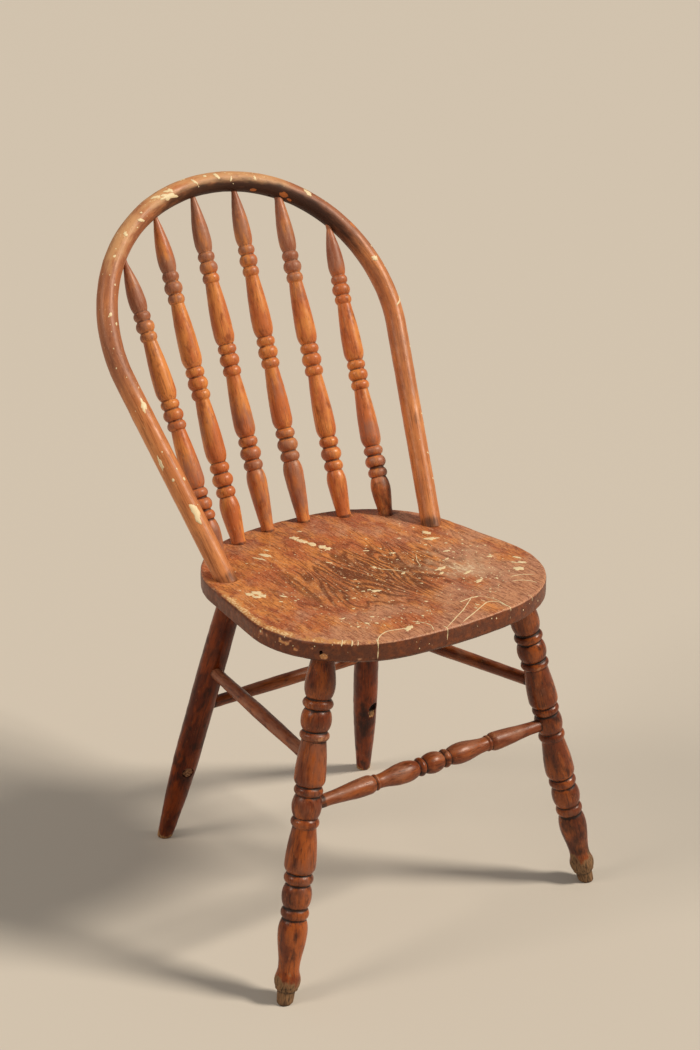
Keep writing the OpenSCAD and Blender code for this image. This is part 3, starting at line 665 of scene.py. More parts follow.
# %% Front legs
LOWER_FRONT_Z, LOWER_BACK_Z, SOCKET_R = 133, {"left": 114, "right": 124}, 7.1
lower_front = {side: at_height(front_line[side], LOWER_FRONT_Z) for side in SIDES}
lower_back = {side: at_height(back_line[side], LOWER_BACK_Z[side]) for side in SIDES}
WORN_FOOT = {"left": (46, 24), "right": (54, 38)}  # heights between which the varnish runs out
for side, seed in (("left", 3), ("right", 4)):
    points, marks, stock, height, length = rough_leg(
        front_leg_profile, front_line[side], lower_front[side], 1.25, 72, seed, 9, 1.0)
    wear_and_highlight, dirt_and_shade = marks["wear_and_highlight"], marks["dirt_and_shade"]
    marks = {
        "bare": ramp(height + 12 * lumps(stock, 9, 6), *WORN_FOOT[side]) * 0.85,
        "dull": 0.2 + 0.5 * lumps(stock, 26, 5) + 0.5 * wear_and_highlight,
        "wear_and_highlight": 1.15 * wear_and_highlight + 0.35 * patches(stock, 14, 8, 0.2, 0.7),
        # Dirt in the grooves, in patches and at the foot, and painted shade: just under the seat, over the
        # lower leg, and a little more over the right leg.
        "dirt_and_shade": (maximum(dirt_and_shade, 0.8 * ramp(height, length - 12, length + 4))
                  + 0.35 * ramp(lumps(stock, 22, 9) + (side == "right") * 0.3, 0.1, 0.7)
                  + 0.3 * ramp(height, 8, 0) + 0.14 * ramp(height, 230, 90)),
    }
    points, marks = bored(points, marks, lower_front[side], lower_back[side], SOCKET_R, 3.5)
    piece("turned_front_leg_" + side, [(points, marks, stock)], front_leg_varnish,
          "front_leg_" + side)

# %% Back legs
def torn_below(points, marks, stock, centre, toward):
    """Tears splinters out of a leg under its socket: a wedge 13 mm long and 9 mm wide, 3 mm deep at
    the socket and running out to nothing, with ragged sides and raw wood in it."""
    line = unit(toward - centre)
    down = unit(-Z + (Z @ line) * line)
    aside = np.cross(line, down)
    below, beside = (points - centre) @ down, (points - centre) @ aside
    ragged = 1.5 * lumps(stock * [1, 1, 0.3], 2.0, 4)
    facing = (points - centre) @ line > 0
    torn = ramp(below, 3, 5) * ramp(below + 2 * ragged, 22, 14)
    torn = torn * ramp(np.abs(beside) + ragged, 5.6, 4.2) * facing
    depth = torn * (3.0 * ramp(below, 22, 7) + 0.6 * lumps(stock * [1, 1, 0.2], 1.5, 6))
    marks = {**marks, "bare": maximum(marks["bare"], torn), "dirt_and_shade": marks["dirt_and_shade"] * (1 - torn)}
    return points - depth[..., None] * line, marks


for side, seed in (("left", 5), ("right", 6)):
    points, marks, stock, height, length = rough_leg(
        back_leg_profile, back_line[side], lower_back[side], 1.7, 84, seed, 10, 1.4)
    marks = {
        "bare": 0.75 * ramp(height + 8 * lumps(stock, 9, 6), 14, 3),
        "dull": 0.12 + 0.35 * lumps(stock, 40, 5),
        "wear_and_highlight": 0.5 * ramp(lumps(stock, 13, 8) + 0.5 * ramp(height, 170, 20), 0.35, 0.9),
        # Dirt in patches, and painted shade over the top 40 mm under the seat and a little over the whole
        # leg, more on the right.
        "dirt_and_shade": maximum(0.6 * ramp(height, length - 40, length),
                         0.45 * patches(stock, 18, 9, 0.1, 0.7)) + (0.15 if side == "right" else 0.05),
    }
    line = lower_back[side], lower_front[side]
    if side == "right":
        points, marks = torn_below(points, marks, stock, *line)
    points, marks = bored(points, marks, *line, SOCKET_R, 6.0)
    piece("plain_back_leg_" + side, [(points, marks, stock)], back_leg_varnish,
          "back_leg_" + side)

# %% [markdown]
# ## Stretchers
# Four stretchers tie the legs together. The front one is turned, with a ball in the middle, a vase and
# a swell on each side. The other three are plain rods, a little thicker in the middle.


# %% Stretcher profiles
def rod_profile(length):
    """Plain rod: 16 mm at the ends, 18 mm in the middle."""
    half = length / 2
    return concatenate([[[8, 3]], ease(24, half - 24, 8, 9), ease(half, half - 24, 9, 8),
                        [[8, length - 3]]])


def turned_rod_profile(length):
    """One half from the leg to the middle, then the same turned round."""
    h, r = length / 2, 13.5
    half = concatenate([[[8, 3]], *cuts(1, [
        (ease, 24, h - 97 - 24, 8, r - 1.6), (close_in, h - 97, 8, r - 1.6, r - 5),
        (bead, h - 88.5, 5, r - 5, r - 3.2), (ease, h - 83, 40, r - 4.6, r),
        (close_in, h - 43, 19, r, r - 4.8), (bead, h - 23.5, 9, r - 4.8, r - 1.6),
        (open_out, h - 14, 14, r - 4.8, r)])])
    return concatenate([half, (half * [1, -1] + [0, length])[::-1]])


# %% Stretchers
FRONT_Z, SIDE_FRONT_Z, SIDE_BACK_Z, BACK_Z = 240, 296, 273, 215
stretchers = {"front_stretcher": [at_height(front_line[side], FRONT_Z) for side in SIDES],
              "back_stretcher": [at_height(back_line[side], BACK_Z) for side in SIDES]}
for side in SIDES:
    stretchers["side_stretcher_" + side] = (at_height(back_line[side], SIDE_BACK_Z),
                                            at_height(front_line[side], SIDE_FRONT_Z))
for seed, (name, (start, end)) in enumerate(stretchers.items(), 10):
    length = np.linalg.norm(end - start)
    fancy = name == "front_stretcher"
    profile = turned_rod_profile(length) if fancy else rod_profile(length)
    upright, marks, stock = turned(profile, 1.1 if fancy else 2.0, 52, seed, dents=1.3)
    points = leaned(upright, start, end)
    up = (points - points.mean(1, keepdims=True))[..., 2] / 9
    ends = minimum(upright[..., 2], length - upright[..., 2])
    # Dirt in the grooves and near the legs, and painted shade on the underside.
    dirt_and_shade = maximum(marks["dirt_and_shade"], 0.7 * ramp(ends, 26, 15)) + 0.35 * ramp(up, 0.1, -0.9)
    if fancy:
        dirt_and_shade = maximum(dirt_and_shade, 0.6 * ramp(upright[..., 2] + 3 * lumps(stock, 5, 4), 27, 22))
    marks = {
        "dull": 0.55 * ramp(up, -0.3, 0.9) + 0.4 * lumps(stock, 22, 5),
        "wear_and_highlight": marks["wear_and_highlight"] * 0.9 + 0.4 * ramp(up + lumps(stock, 12, 8), 0.8, 1.5),
        "dirt_and_shade": dirt_and_shade,
    }
    piece("worn_" + name, [(points, marks, stock)], stretcher_varnish, name)

# %% [markdown]
# ## Broken stretchers
# Two lower side stretchers are gone. Each has left its tenon in the back leg, snapped off in
# splinters: the left one near the leg's face, the right one deep in its hole.


# %% Broken tenons
TENON_R, FACE = 6.9, 16.6


def broken_tenon(side, seed):
    """A rod that ends in splinters, a disc with sharp random steps. It is nearly level with the leg's
    face on the left, and 9 mm inside the leg on the right."""
    shaft, a = linspace(3.2, 5.0 if side == "right" else 9.0, 6), angles(64)
    rows = [joined(TENON_R * cos(a), TENON_R * sin(a), z) for z in shaft]
    for share in linspace(1, 0.04, 22):
        x, y = TENON_R * share * cos(a), TENON_R * share * sin(a)
        flat = joined(x, y, seed * 40.0)
        if side == "right":
            z = FACE - 9.0 + 1.5 * x / TENON_R
        else:
            z = FACE - 2.6 - 2.2 * ramp(-x / TENON_R + 0.4 * y / TENON_R, 0.0, 0.7)
        z = z + 1.3 * lumps(flat, 2.3, seed) + 0.7 * lumps(flat, 0.9, seed)
        rows.append(joined(x, y, np.clip(z, shaft[-1], FACE)))
    upright = np.stack(rows)
    points = leaned(upright, lower_back[side], lower_front[side])
    # The shaft is darkened deeper in the socket as painted shade.
    return points, {"dirt_and_shade": ramp(upright[..., 2], FACE - 3, FACE - 6)}, upright * [1, 1, 0.4]


for side, seed in (("left", 21), ("right", 22)):
    piece("snapped_tenon_" + side, [broken_tenon(side, seed)], split_wood,
          "lower_stub_" + side)

# %% [markdown]
# ## Bow
# The bow is one rod, steamed and bent: two straight limbs, two shoulders of 200 mm radius and a crown of 225
# mm, all in a plane that leans back by 33 degrees. Its skin is a circle carried along that line. Over the
# left shoulder and the crown it is rubbed bare, a painted highlight runs with the wear along its outer right
# edge, and its inner side is darkened with dirt and painted shade.

# %% Line of the bow
BOW_TENON = 9  # how far its ends reach into the seat
shoulder_u, crown_v = BOW_W / 2 - SHOULDER_R, BOW_RISE - CROWN_R
shoulder_v = crown_v + sqrt((CROWN_R - SHOULDER_R) ** 2 - shoulder_u ** 2)
crown_half = np.arcsin(shoulder_u / (CROWN_R - SHOULDER_R))
foot_reach = hypot(BOW_FOOT_W / 2 - shoulder_u, shoulder_v)
limb_angle = np.arctan2(shoulder_v, BOW_FOOT_W / 2 - shoulder_u) - np.arccos(SHOULDER_R / foot_reach)
limb_length = sqrt(foot_reach ** 2 - SHOULDER_R ** 2)
BOW_OUT = np.array([0, -cos(BOW_LEAN), sin(BOW_LEAN)])


def in_bow_plane(u, v):
    """A point of the bow's plane: u across, v up the lean."""
    up = np.array([0, sin(BOW_LEAN), cos(BOW_LEAN)])
    return on_seat(0, BOW_BACK) + np.multiply.outer(u, X) + np.multiply.outer(v, up)


def bow_line(step):
    """The line as points, step mm apart: up the left limb, round the shoulder and crown, and down."""
    t = np.arange(-BOW_TENON, limb_length, step)
    limb = joined(BOW_FOOT_W / 2 + t * sin(limb_angle), t * cos(limb_angle))
    a = np.arange(-limb_angle, pi / 2 - crown_half, step / SHOULDER_R)
    shoulder = joined(shoulder_u + SHOULDER_R * cos(a), shoulder_v + SHOULDER_R * sin(a))
    a = np.arange(pi / 2 - crown_half, pi / 2, step / CROWN_R)
    crown = joined(CROWN_R * cos(a), crown_v + CROWN_R * sin(a))
    right = concatenate([limb, shoulder, crown])
    both = concatenate([right * [-1, 1], right[::-1]])
    return in_bow_plane(both[:, 0], both[:, 1])


def round_bow(distance, angle, out):
    """The point of the bow's surface, raised by out: distance along the line from the left foot, and
    angle from the outer side towards the front."""
    ahead = walked(distance, bow_run, bow_heading)
    ahead = ahead / np.linalg.norm(ahead, axis=-1, keepdims=True)
    place, side, r = walked(distance, bow_run, line), np.cross(BOW_OUT, ahead), BOW_D / 2 - 0.15 + out
    return place + (r * cos(angle))[..., None] * side + (r * sin(angle))[..., None] * BOW_OUT


line = bow_line(1.0)
bow_heading = np.gradient(line, axis=0)
bow_run = run_of(line) - BOW_TENON
print("the bow is", round(bow_run[-1] - BOW_TENON), "mm long")


# %% Bow
BOW_NAIL = (718, 180)  # distance along the bow, and angle round it, in degrees
CHIPS = [(737, 144, 6.5, 4), (691, 160, 4.5, 3), (748, 164, 4, 2.5), (842, 60, 5, 3)]  # place, and reaches
BOW_UNEVEN = (0.26, 45), (0.16, 12), (0.08, 4)
along_bow = spaced(-BOW_TENON, bow_run[-1], 1.9, [(BOW_NAIL[0], 7)])
distance, angle = np.meshgrid(along_bow, angles(76), indexing="ij")
blank = joined(BOW_D / 2 * cos(angle), BOW_D / 2 * sin(angle), distance)
# Where the bow has worn, where a painted highlight runs along its outer right edge, and where painted shade
# lies on its inner side: each zone is given by distances along it in mm, or by the side it faces.
tan_zone = ramp(distance, 330, 470) * ramp(distance, 840, 700)
outer, facing_front = cos(angle), sin(angle)
upper = ramp(outer + 0.5 * facing_front, -0.7, 0.5)
# The outer right edge: worn, and lightened further as a painted highlight.
right_edge = ramp(distance, 760, 860) * ramp(distance, 1270, 1100) * ramp(outer, 0.35, 0.95)
# The inner side takes dirt and painted shade, most of all under the crown.
inner_side = ramp(outer + 0.15 * lumps(blank, 30, 7), 0.45, -0.75)


def from_spot(s, a):
    """How far each point lies along the bow, and round it, from the spot (s, a in degrees), in mm."""
    round_it = (angle - radians(a) + pi) % (2 * pi) - pi
    return distance - s, round_it * BOW_D / 2


chipped = np.zeros_like(distance)
for s, a, length, width in CHIPS:
    ahead, beside = from_spot(s, a)
    off = hypot(ahead / length, beside / width) + 0.25 * lumps(blank, 2.5, 5)
    chipped = maximum(chipped, ramp(off, 1.1, 0.85))
nail = ramp(hypot(*from_spot(*BOW_NAIL)), 2.4, 1.2)
out = sum(much * lumps(blank, size) for much, size in BOW_UNEVEN) - 0.6 * chipped - 5 * nail
bow_marks = {
    # Rubbed places, and the painted highlight along the outer right edge.
    "wear_and_highlight": (0.74 * tan_zone * upper + 0.5 * right_edge + 0.3 * lumps(blank, 30, 3)
             + 0.12 * ramp(-np.abs(distance - 90), -260, 0)) * (1 - chipped),
    "dull": (0.2 + 0.5 * ramp(distance, 1060, 900) * ramp(distance, 60, 330)
             + 0.3 * lumps(blank, 60, 4)),
    "bare": chipped,
    # Dirt and painted shade on the inner side, darkest under the crown; dirt at the feet and in patches.
    "dirt_and_shade": (inner_side * (0.15 + 0.8 * ramp(distance, 450, 620) * ramp(distance, 930, 780))
              + 0.45 * ramp(minimum(distance, bow_run[-1] - BOW_TENON - distance), 12, 1)
              # The nail hole is darkened as painted shade; the rest is dirt in patches.
              + 0.22 * patches(blank, 22, 8, 0.4, 0.9)) * (1 - chipped) + 1.3 * nail,
}
piece("bent_bow", [(round_bow(distance, angle, out), bow_marks, blank)], bow_varnish, "back_bow")

# %% [markdown]
# ## Spindles
# Six spindles fan out from the seat to the bow. All were cut to one pattern and then shortened at the
# foot, so the outer pairs have a shorter foot and slightly squeezed beads. Their tops are dull and
# pinkish, and the wood turns orange further down, where no hand goes.

# %% Spindle pattern
FOOT_LENGTHS, TIP_LENGTHS, TIP_D = (50, 61, 81), (22, 16, 14), (6, 6.5, 7, 7, 11, 7.5)
BEAD_GROUPS, VASE_SHARE, TOP_LENGTH = (45, 42, 41), 82, 85
SPINDLE_PITCH, FOOT_ARC_R, FOOT_STEP, SEAT_DEPTH, FOOT_INSET = 62.4, 207, radians(15.6), 409, 17.5


def spindle_line(i):
    """Base on the seat, on an arc of 207 mm radius, and head on the bow's centre line."""
    steps, side, pair = abs(i - 2.5), (-1 if i < 3 else 1), min(i, 5 - i)
    a = steps * FOOT_STEP
    base = on_seat(side * FOOT_ARC_R * sin(a), SEAT_DEPTH - FOOT_INSET - FOOT_ARC_R * (1 - cos(a)))
    u = steps * SPINDLE_PITCH
    if u < CROWN_R * sin(crown_half):
        v = crown_v + sqrt(CROWN_R ** 2 - u ** 2)
    else:
        v = shoulder_v + sqrt(SHOULDER_R ** 2 - (u - shoulder_u) ** 2)
    return base, in_bow_plane(side * u, v), FOOT_LENGTHS[pair], TIP_D[i] / 2, TIP_LENGTHS[pair]


def spindle_profile(length, foot, tip, tip_length):
    """The cuts of a spindle from its foot to its tip in the bow."""
    base_r, s, g, b = 8.5 + (81 - foot) / 24, 13.2, 9.5, 12.3
    k = (length - TOP_LENGTH - foot) / (sum(BEAD_GROUPS) + 2 * VASE_SHARE)
    z = foot + k * np.cumsum([0, BEAD_GROUPS[0], VASE_SHARE, BEAD_GROUPS[1], VASE_SHARE, BEAD_GROUPS[2]])
    t = linspace(0, 1, 24)
    swell = joined(base_r + (s - base_r) * (0.5 * t + 0.5 * sin(pi / 2 * t)), 6 + (foot - 22) * t)
    groups = [(three_beads, g, b + 0.6, b + 1.5), (vase, g, 13.6, 9.2), (three_beads, g, b, b + 0.8),
              (vase, g, 13.4, 8.8), (three_beads, g - 0.8, b - 1.2, b - 0.3)]
    turned_part = [kind(low, high - low, *radii) for (kind, *radii), low, high in zip(groups, z, z[1:])]
    return concatenate([
        [[base_r, -10]], swell, close_in(foot - 16, 16, s, g), *turned_part,
        open_out(z[5], 13, g - 0.8, 11.2),
        narrow(z[5] + 13, length - tip_length - 13 - z[5], 11.2, tip), [[tip, length + 2.5]]])


# %% Spindles
DULL_BELOW, DARK_FOOT = (0.45, 0.1, 0.55, 0.5, 0.05, 0.35), (0.35, 0.15, 0, 0, 0, 0.5)  # per spindle
for i in range(6):
    base, head, foot, tip, tip_length = spindle_line(i)
    length = np.linalg.norm(head - base)
    upright, marks, stock = turned(spindle_profile(length, foot, tip, tip_length), 1.0, 48, 30 + i, chips=0.7)
    share = upright[..., 2] / length
    wear_and_highlight, dirt_and_shade = marks["wear_and_highlight"], marks["dirt_and_shade"]
    dark = DARK_FOOT[i] * ramp(share + 0.1 * lumps(stock, 14, 8), 0.22, 0.08)
    marks = {
        "dull": (0.7 * ramp(share, 0.6, 0.86) + DULL_BELOW[i] * ramp(share, 0.55, 0.25)
                 + 0.45 * lumps(stock, 30, 5) + 0.9 * wear_and_highlight),
        "wear_and_highlight": wear_and_highlight * 0.9 + 0.3 * patches(stock, 10, 7, 0.3, 0.8),
        "dirt_and_shade": maximum(dirt_and_shade * 0.8 + dark, 0.6 * ramp(upright[..., 2], 2, -1)),
    }
    piece(f"turned_spindle_{i + 1}", [(leaned(upright, base, head), marks, stock)], spindle_varnish,
          f"spindle_{i + 1}")

# %% [markdown]
# ## Seat
# The seat is a plank, 26 mm thick, with its top scooped out 6 mm deep. Its outline is six arcs and
# two straight sides that meet without a kink. The skin starts at the middle of the top, runs out to
# the edge, over it, and back under, so the whole plank is one grid. The edge is rubbed rounder at the
# front left corner.

# %% Outline of the seat
FRONT_ARC_R, BACK_ARC_R, FRONT_CORNER_R, BACK_CORNER_R = 551, 356, 143, 153
SEAT_W, SEAT_BACK_W = 400, 374
x_front, x_back = SEAT_W / 2 - FRONT_CORNER_R, SEAT_BACK_W / 2 - BACK_CORNER_R
front_reach, back_reach = FRONT_ARC_R - FRONT_CORNER_R, BACK_ARC_R - BACK_CORNER_R
front_corner = np.array([x_front, FRONT_ARC_R - sqrt(front_reach ** 2 - x_front ** 2)])
back_corner = np.array([x_back, SEAT_DEPTH - BACK_ARC_R + sqrt(back_reach ** 2 - x_back ** 2)])
across, along = back_corner - front_corner
front_turn, back_turn = -pi / 2 + np.arcsin(x_front / front_reach), pi / 2 - np.arcsin(x_back / back_reach)
side_turn = np.arctan2(along, across) - np.arccos(
    (FRONT_CORNER_R - BACK_CORNER_R) / np.linalg.norm([across, along]))
places, facings = [], []
for centre, r, a0, a1 in (((0, FRONT_ARC_R), FRONT_ARC_R, -pi / 2, front_turn),
                          (front_corner, FRONT_CORNER_R, front_turn, side_turn),
                          (back_corner, BACK_CORNER_R, side_turn, back_turn),
                          ((0, SEAT_DEPTH - BACK_ARC_R), BACK_ARC_R, back_turn, pi / 2)):
    a = linspace(a0, a1, 400)
    facings.append(joined(cos(a), sin(a)))
    places.append(np.array(centre) + r * facings[-1])
edge, edge_facing = (concatenate([*half, concatenate(half)[::-1] * [-1, 1]])
                     for half in (places, facings))
keep = np.append(True, np.linalg.norm(np.diff(edge, axis=0), axis=1) > 1e-6)
edge, edge_facing = edge[keep], edge_facing[keep]
edge_run = run_of(edge)
NAIL_X = -168
nail_at = np.argmin(np.abs(edge[:, 0] - NAIL_X) + 1000 * (edge[:, 1] > 120))
print("outline is", round(edge_run[-1]), "mm round; nail hole at", edge[nail_at].round())


# %% Scoop
SCOOP_DEPTH, SCOOP_R, SCOOP_BACK, SOFT = 6, 145, 195, 0.06


def seat_dip(x, back):
    """Depth of the scoop: a shallow bowl, 1 - (r / R)^2, whose rim is softened over a few millimetres."""
    bowl = 1 - (x ** 2 + (back - SCOOP_BACK) ** 2) / SCOOP_R ** 2
    return SCOOP_DEPTH * (bowl + sqrt(bowl ** 2 + SOFT ** 2)) / 2 - SCOOP_DEPTH * SOFT * 0.03


def on_top(x, back, out):
    """The point of the scooped top at x and a distance back, raised by out."""
    return joined(x, FRONT + back, SEAT_HEIGHT - back * SEAT_SLOPE - seat_dip(x, back) + out)


# %% Seat
BEVEL, MIDDLE = 4, np.array([0, 200])
column = spaced(0, edge_run[-1], 3.0, [(edge_run[nail_at], 9)])[:-1]
rim, facing = walked(column, edge_run, edge), walked(column, edge_run, edge_facing)
rim3 = joined(*rim.T, 0)
front_left = ramp(rim[:, 0], -100, -160) * ramp(rim[:, 1], 300, 200)
other_edges = 0.16 + 0.2 * lumps(rim3, 40, 2)
rubbed = np.clip(front_left * (0.78 + 0.6 * lumps(rim3, 17)) + other_edges, 0, 1.2)
rounding = 4 + 2.6 * rubbed * front_left + 0.9 * lumps(rim3, 12, 5)
level = 0 * rounding
inner, under = rim - facing * rounding[:, None], rim - facing * BEVEL
rings = [(MIDDLE + (inner - MIDDLE) * share, level) for share in linspace(0.01, 1, 104)[:-1]]
top_rows = len(rings)
for a in linspace(0, pi / 2, 9):
    rings.append((rim - facing * (rounding * (1 - sin(a)))[:, None], rounding * (1 - cos(a))))
for share in linspace(0, 1, 15)[1:]:
    rings.append((rim, rounding + (SEAT_THICK - BEVEL - rounding) * share))
for share in (0.35, 0.7, 1):
    rings.append((rim - facing * BEVEL * share, level + SEAT_THICK - BEVEL + BEVEL * share))
under_row = len(rings)
for share in linspace(1, 0.02, 26)[1:]:
    rings.append((MIDDLE + (under - MIDDLE) * share, level + SEAT_THICK))
flat, drop = (np.stack(part) for part in zip(*rings))
row = np.arange(len(rings))[:, None]
top_side, sideways, above_bottom = row < top_rows + 5, row >= top_rows + 3, row < under_row
x, back = flat[..., 0], flat[..., 1]
dip = np.where(top_side, seat_dip(x, back), 0)
points = joined(x, FRONT + back, SEAT_HEIGHT - back * SEAT_SLOPE - drop - dip)
plank = joined(x, -drop, back)

rough_top = 0.16 * lumps(plank, 30) + 0.1 * lumps(plank * [1, 1, 0.3], 5)
points[..., 2] += np.where(top_side, rough_top - 0.15, 0)
on_edge = ramp(drop, 0.5, 3) * above_bottom
dents = 0.35 * lumps(plank, 9, 3) + 0.8 * np.clip(lumps(plank, 6, 4) - 0.5, 0, 1)
points[..., :2] -= facing * (on_edge * (0.25 + dents))[..., None] * 0.9

# %% [markdown]
# The nail hole in the front corner was torn open when the nail came out: a small round pit with a
# shallow chip of raw wood below it and to its right.

# %% Nail hole
NAIL_R, NAIL_DEPTH, NAIL_DOWN = 2.0, 7, 14
on_side = (drop > 5) & (drop < SEAT_THICK - 2) & above_bottom
aside = column - edge_run[nail_at]
from_nail = hypot(aside, drop - NAIL_DOWN)
from_chip = hypot((aside - 3.2) / 1.3, drop - 18.5)
pit = NAIL_DEPTH * ramp(from_nail, NAIL_R + 0.5, NAIL_R - 0.6) + 1.6 * ramp(from_chip, 4.2, 1.5)
points[..., :2] -= facing * (pit * on_side)[..., None]

# %% Marks on the seat
scoop = ramp(hypot(x / 1.25, back - 190), 125, 35)
SMEARS = [  # x, back, reach, how much
    (98, 138, 36, 0.8), (60, 188, 40, 0.4), (-20, 255, 34, 0.35), (-88, 176, 30, 0.4),
    (150, 170, 40, 0.45), (128, 88, 40, 0.42), (20, 55, 80, 0.32), (-8, 330, 36, 0.25),
    (-140, 220, 30, 0.25), (110, 240, 45, 0.35), (-40, 110, 60, 0.25),
]
haze = sum(amount * np.exp(-((x - sx) ** 2 + (back - sy) ** 2) / reach ** 2)
           for sx, sy, reach, amount in SMEARS)
# The side is knocked pale in small spots under the worn corner, and where the nail tore out.
knocks = patches(plank, 5, 9, 0.45, 0.75) * on_side * ramp(x, -70, -140) * ramp(back, 200, 90)
knocks = maximum(knocks, ramp(from_chip, 4.4, 3) * on_side)
seat_marks = {
    "wear_and_highlight": (np.where(top_side, 1, 0.55) * rubbed * ramp(np.linalg.norm(flat - rim, axis=-1), 19, 4)
             * ramp(drop, 3.5, 1) + 0.9 * knocks),
    "dull": (0.24 + 0.5 * ramp(back, 150, 40) + 0.36 * ramp(x, 20, 130)
             + 0.4 * lumps(plank, 45, 6)),
    # The nail pit is darkened as painted shade.
    "dirt_and_shade": (1.6 * ramp(from_nail, NAIL_R + 0.6, NAIL_R - 0.5) * on_side
              # Painted shade on the seat's side faces, stronger along the lower edge, with the pale knocks
              # left out.
              + 0.62 * ramp(drop, 0.8, 3.2) * sideways * (1 - 0.85 * knocks)
              + 0.4 * ramp(drop, SEAT_THICK - 4, SEAT_THICK) * sideways
              # The back strip behind the spindles is darkened with dirt and painted shade.
              + 0.3 * ramp(back, 350, 405)),
    "bloom": (0.42 + 0.5 * scoop) * ramp(drop, 8, 1),
    "haze": haze * (drop < 2),
}
piece("scooped_seat", [(points, seat_marks, plank)], seat_varnish, "seat")

# %% [markdown]
# ## Paint
# Each drop of paint is its own small body on the wood: a ragged disc, domed to a few tenths of a millimetre,
# whose rim dips just under the surface. Drips are long discs, and scratches filled with paint are thin
# tapering trails. The big ones are listed one by one and the fine spray is placed by chance.


# %% Drops
TRAIL_THICK, DIPPED = 0.22, -0.5


def drop_of_paint(place, centre, size, turn, seed, thick, ragged, columns, rings):
    """A ragged disc: its radius wanders by ragged round the rim, its height is thick (1 - q^4) at the
    share q of the radius. place(u, v, out) puts it on the piece."""
    a = angles(columns)
    circle = joined(1.9 * cos(a), 1.9 * sin(a), seed * 3.7)
    reach = 1 + ragged * (lumps(circle, 1.0, seed) + 0.6 * lumps(circle, 0.45, seed))
    share = linspace(0.08, 1, rings)
    q = np.append(share, [1.0, 0.1])[:, None]
    lift = np.append(thick * (1 - share ** 4), [DIPPED, DIPPED])[:, None]
    along, across = q * reach * size[0] / 2 * cos(a), q * reach * size[1] / 2 * sin(a)
    u = centre[0] + along * cos(turn) - across * sin(turn)
    v = centre[1] + along * sin(turn) + across * cos(turn)
    points = place(u, v, lift)
    return points, {}, points


def trail_of_paint(place, route, width, seed):
    """A thin line of paint along a smooth curve through the route's points: a flat half ellipse whose
    width wanders and tapers to the ends."""
    t = linspace(0, len(route) - 1, 90)
    corners = walked(t, np.arange(len(route)), np.array(route, float))
    kernel = np.hanning(25) / np.hanning(25).sum()
    padded = np.pad(corners, ((12, 12), (0, 0)), "reflect", reflect_type="odd")
    smooth = joined(*(np.convolve(numbers, kernel, "valid") for numbers in padded.T))
    heading = np.gradient(smooth, axis=0)
    heading /= np.linalg.norm(heading, axis=1, keepdims=True)
    taper = minimum(sin(pi * linspace(0.03, 0.97, len(t))) * 2.5, 1)
    half = width / 2 * taper * (1 + 0.45 * lumps(joined(*smooth.T, seed * 3.1), 4, seed))
    a = angles(8)
    u = smooth[:, :1] - heading[:, 1:] * half[:, None] * cos(a)
    v = smooth[:, 1:] + heading[:, :1] * half[:, None] * cos(a)
    points = place(u, v, np.where(sin(a) > 0.01, TRAIL_THICK * sin(a), DIPPED * 0.6))
    return points, {}, points


# %% [markdown]
# On the seat a place is given as x and the distance back from the front edge.

# %% Paint on the seat
SPLASHES = [  # x, back, length, width, turn in degrees
    (-17, 345, 13, 11, -70), (-13, 332, 18, 9, -72), (-7, 317, 15, 8, -75), (0, 303, 12, 9, -70),
    (3, 295, 8, 8, 0), (-78, 318, 18, 7, -65), (-90, 312, 16, 4, -62), (-68, 331, 9, 3, -70),
    (-160, 222, 13, 7, -70), (-151, 222, 15, 8, -60), (-150, 209, 16, 7, -75), (-157, 211, 12, 6, -40),
    (-24, 150, 10, 7, -20), (80, 157, 16, 7, 10), (72, 145, 10, 5, 40), (133, 258, 14, 9, -60),
    (126, 240, 16, 8, -30), (96, 124, 11, 5, 15), (90, 92, 13, 6, 25), (149, 145, 9, 4, -10),
    (174, 122, 12, 4, -65), (168, 106, 12, 6, -50), (152, 92, 14, 9, -20), (160, 112, 8, 3, -60),
    (-64, 28, 15, 8, 35), (-20, 258, 9, 3, -50), (40, 262, 8, 3, -30), (18, 214, 9, 4, -80),
    (-60, 146, 6, 3, -20), (36, 176, 7, 4, 30), (-110, 96, 6, 3, 10), (118, 196, 9, 4, -20),
    (104, 176, 7, 3, 20), (62, 236, 8, 5, -50),
]
seat_paint = [drop_of_paint(on_top, spot[:2], spot[2:4], radians(spot[4]), 50 + n, 0.4, 0.45, 34, 7)
              for n, spot in enumerate(SPLASHES)]
TRAILS = [  # points of each scratch, x and distance back
    ([(-27, 3), (-4, 18), (19, 32), (36, 45), (53, 58)], 1.2),
    ([(50, 56), (60, 54), (66, 44), (70, 30), (69, 14)], 0.9),
    ([(-2, 5), (12, 12), (27, 19), (44, 28), (58, 35), (68, 27), (69, 10)], 1.4),
    ([(-117, 16), (-108, 27), (-99, 33), (-90, 36), (-81, 34), (-72, 31), (-62, 29)], 1.6),
    ([(-44, 6), (-38, 18), (-40, 30), (-50, 42)], 1.2),
    ([(120, 66), (131, 62), (139, 54), (142, 44)], 1.5), ([(128, 78), (142, 76), (156, 66)], 1.2),
    ([(30, 53), (44, 55), (58, 53)], 1.5), ([(84, 215), (72, 196), (66, 180)], 1.1),
    ([(20, 206), (34, 190), (44, 172)], 1.0),
]
seat_paint += [trail_of_paint(on_top, *trail, 90 + n) for n, trail in enumerate(TRAILS)]
print(len(SPLASHES), "splashes and", len(TRAILS), "trails")

# %% [markdown]
# The fine spray lies all over the top, and is densest near the front edge and over the right half.

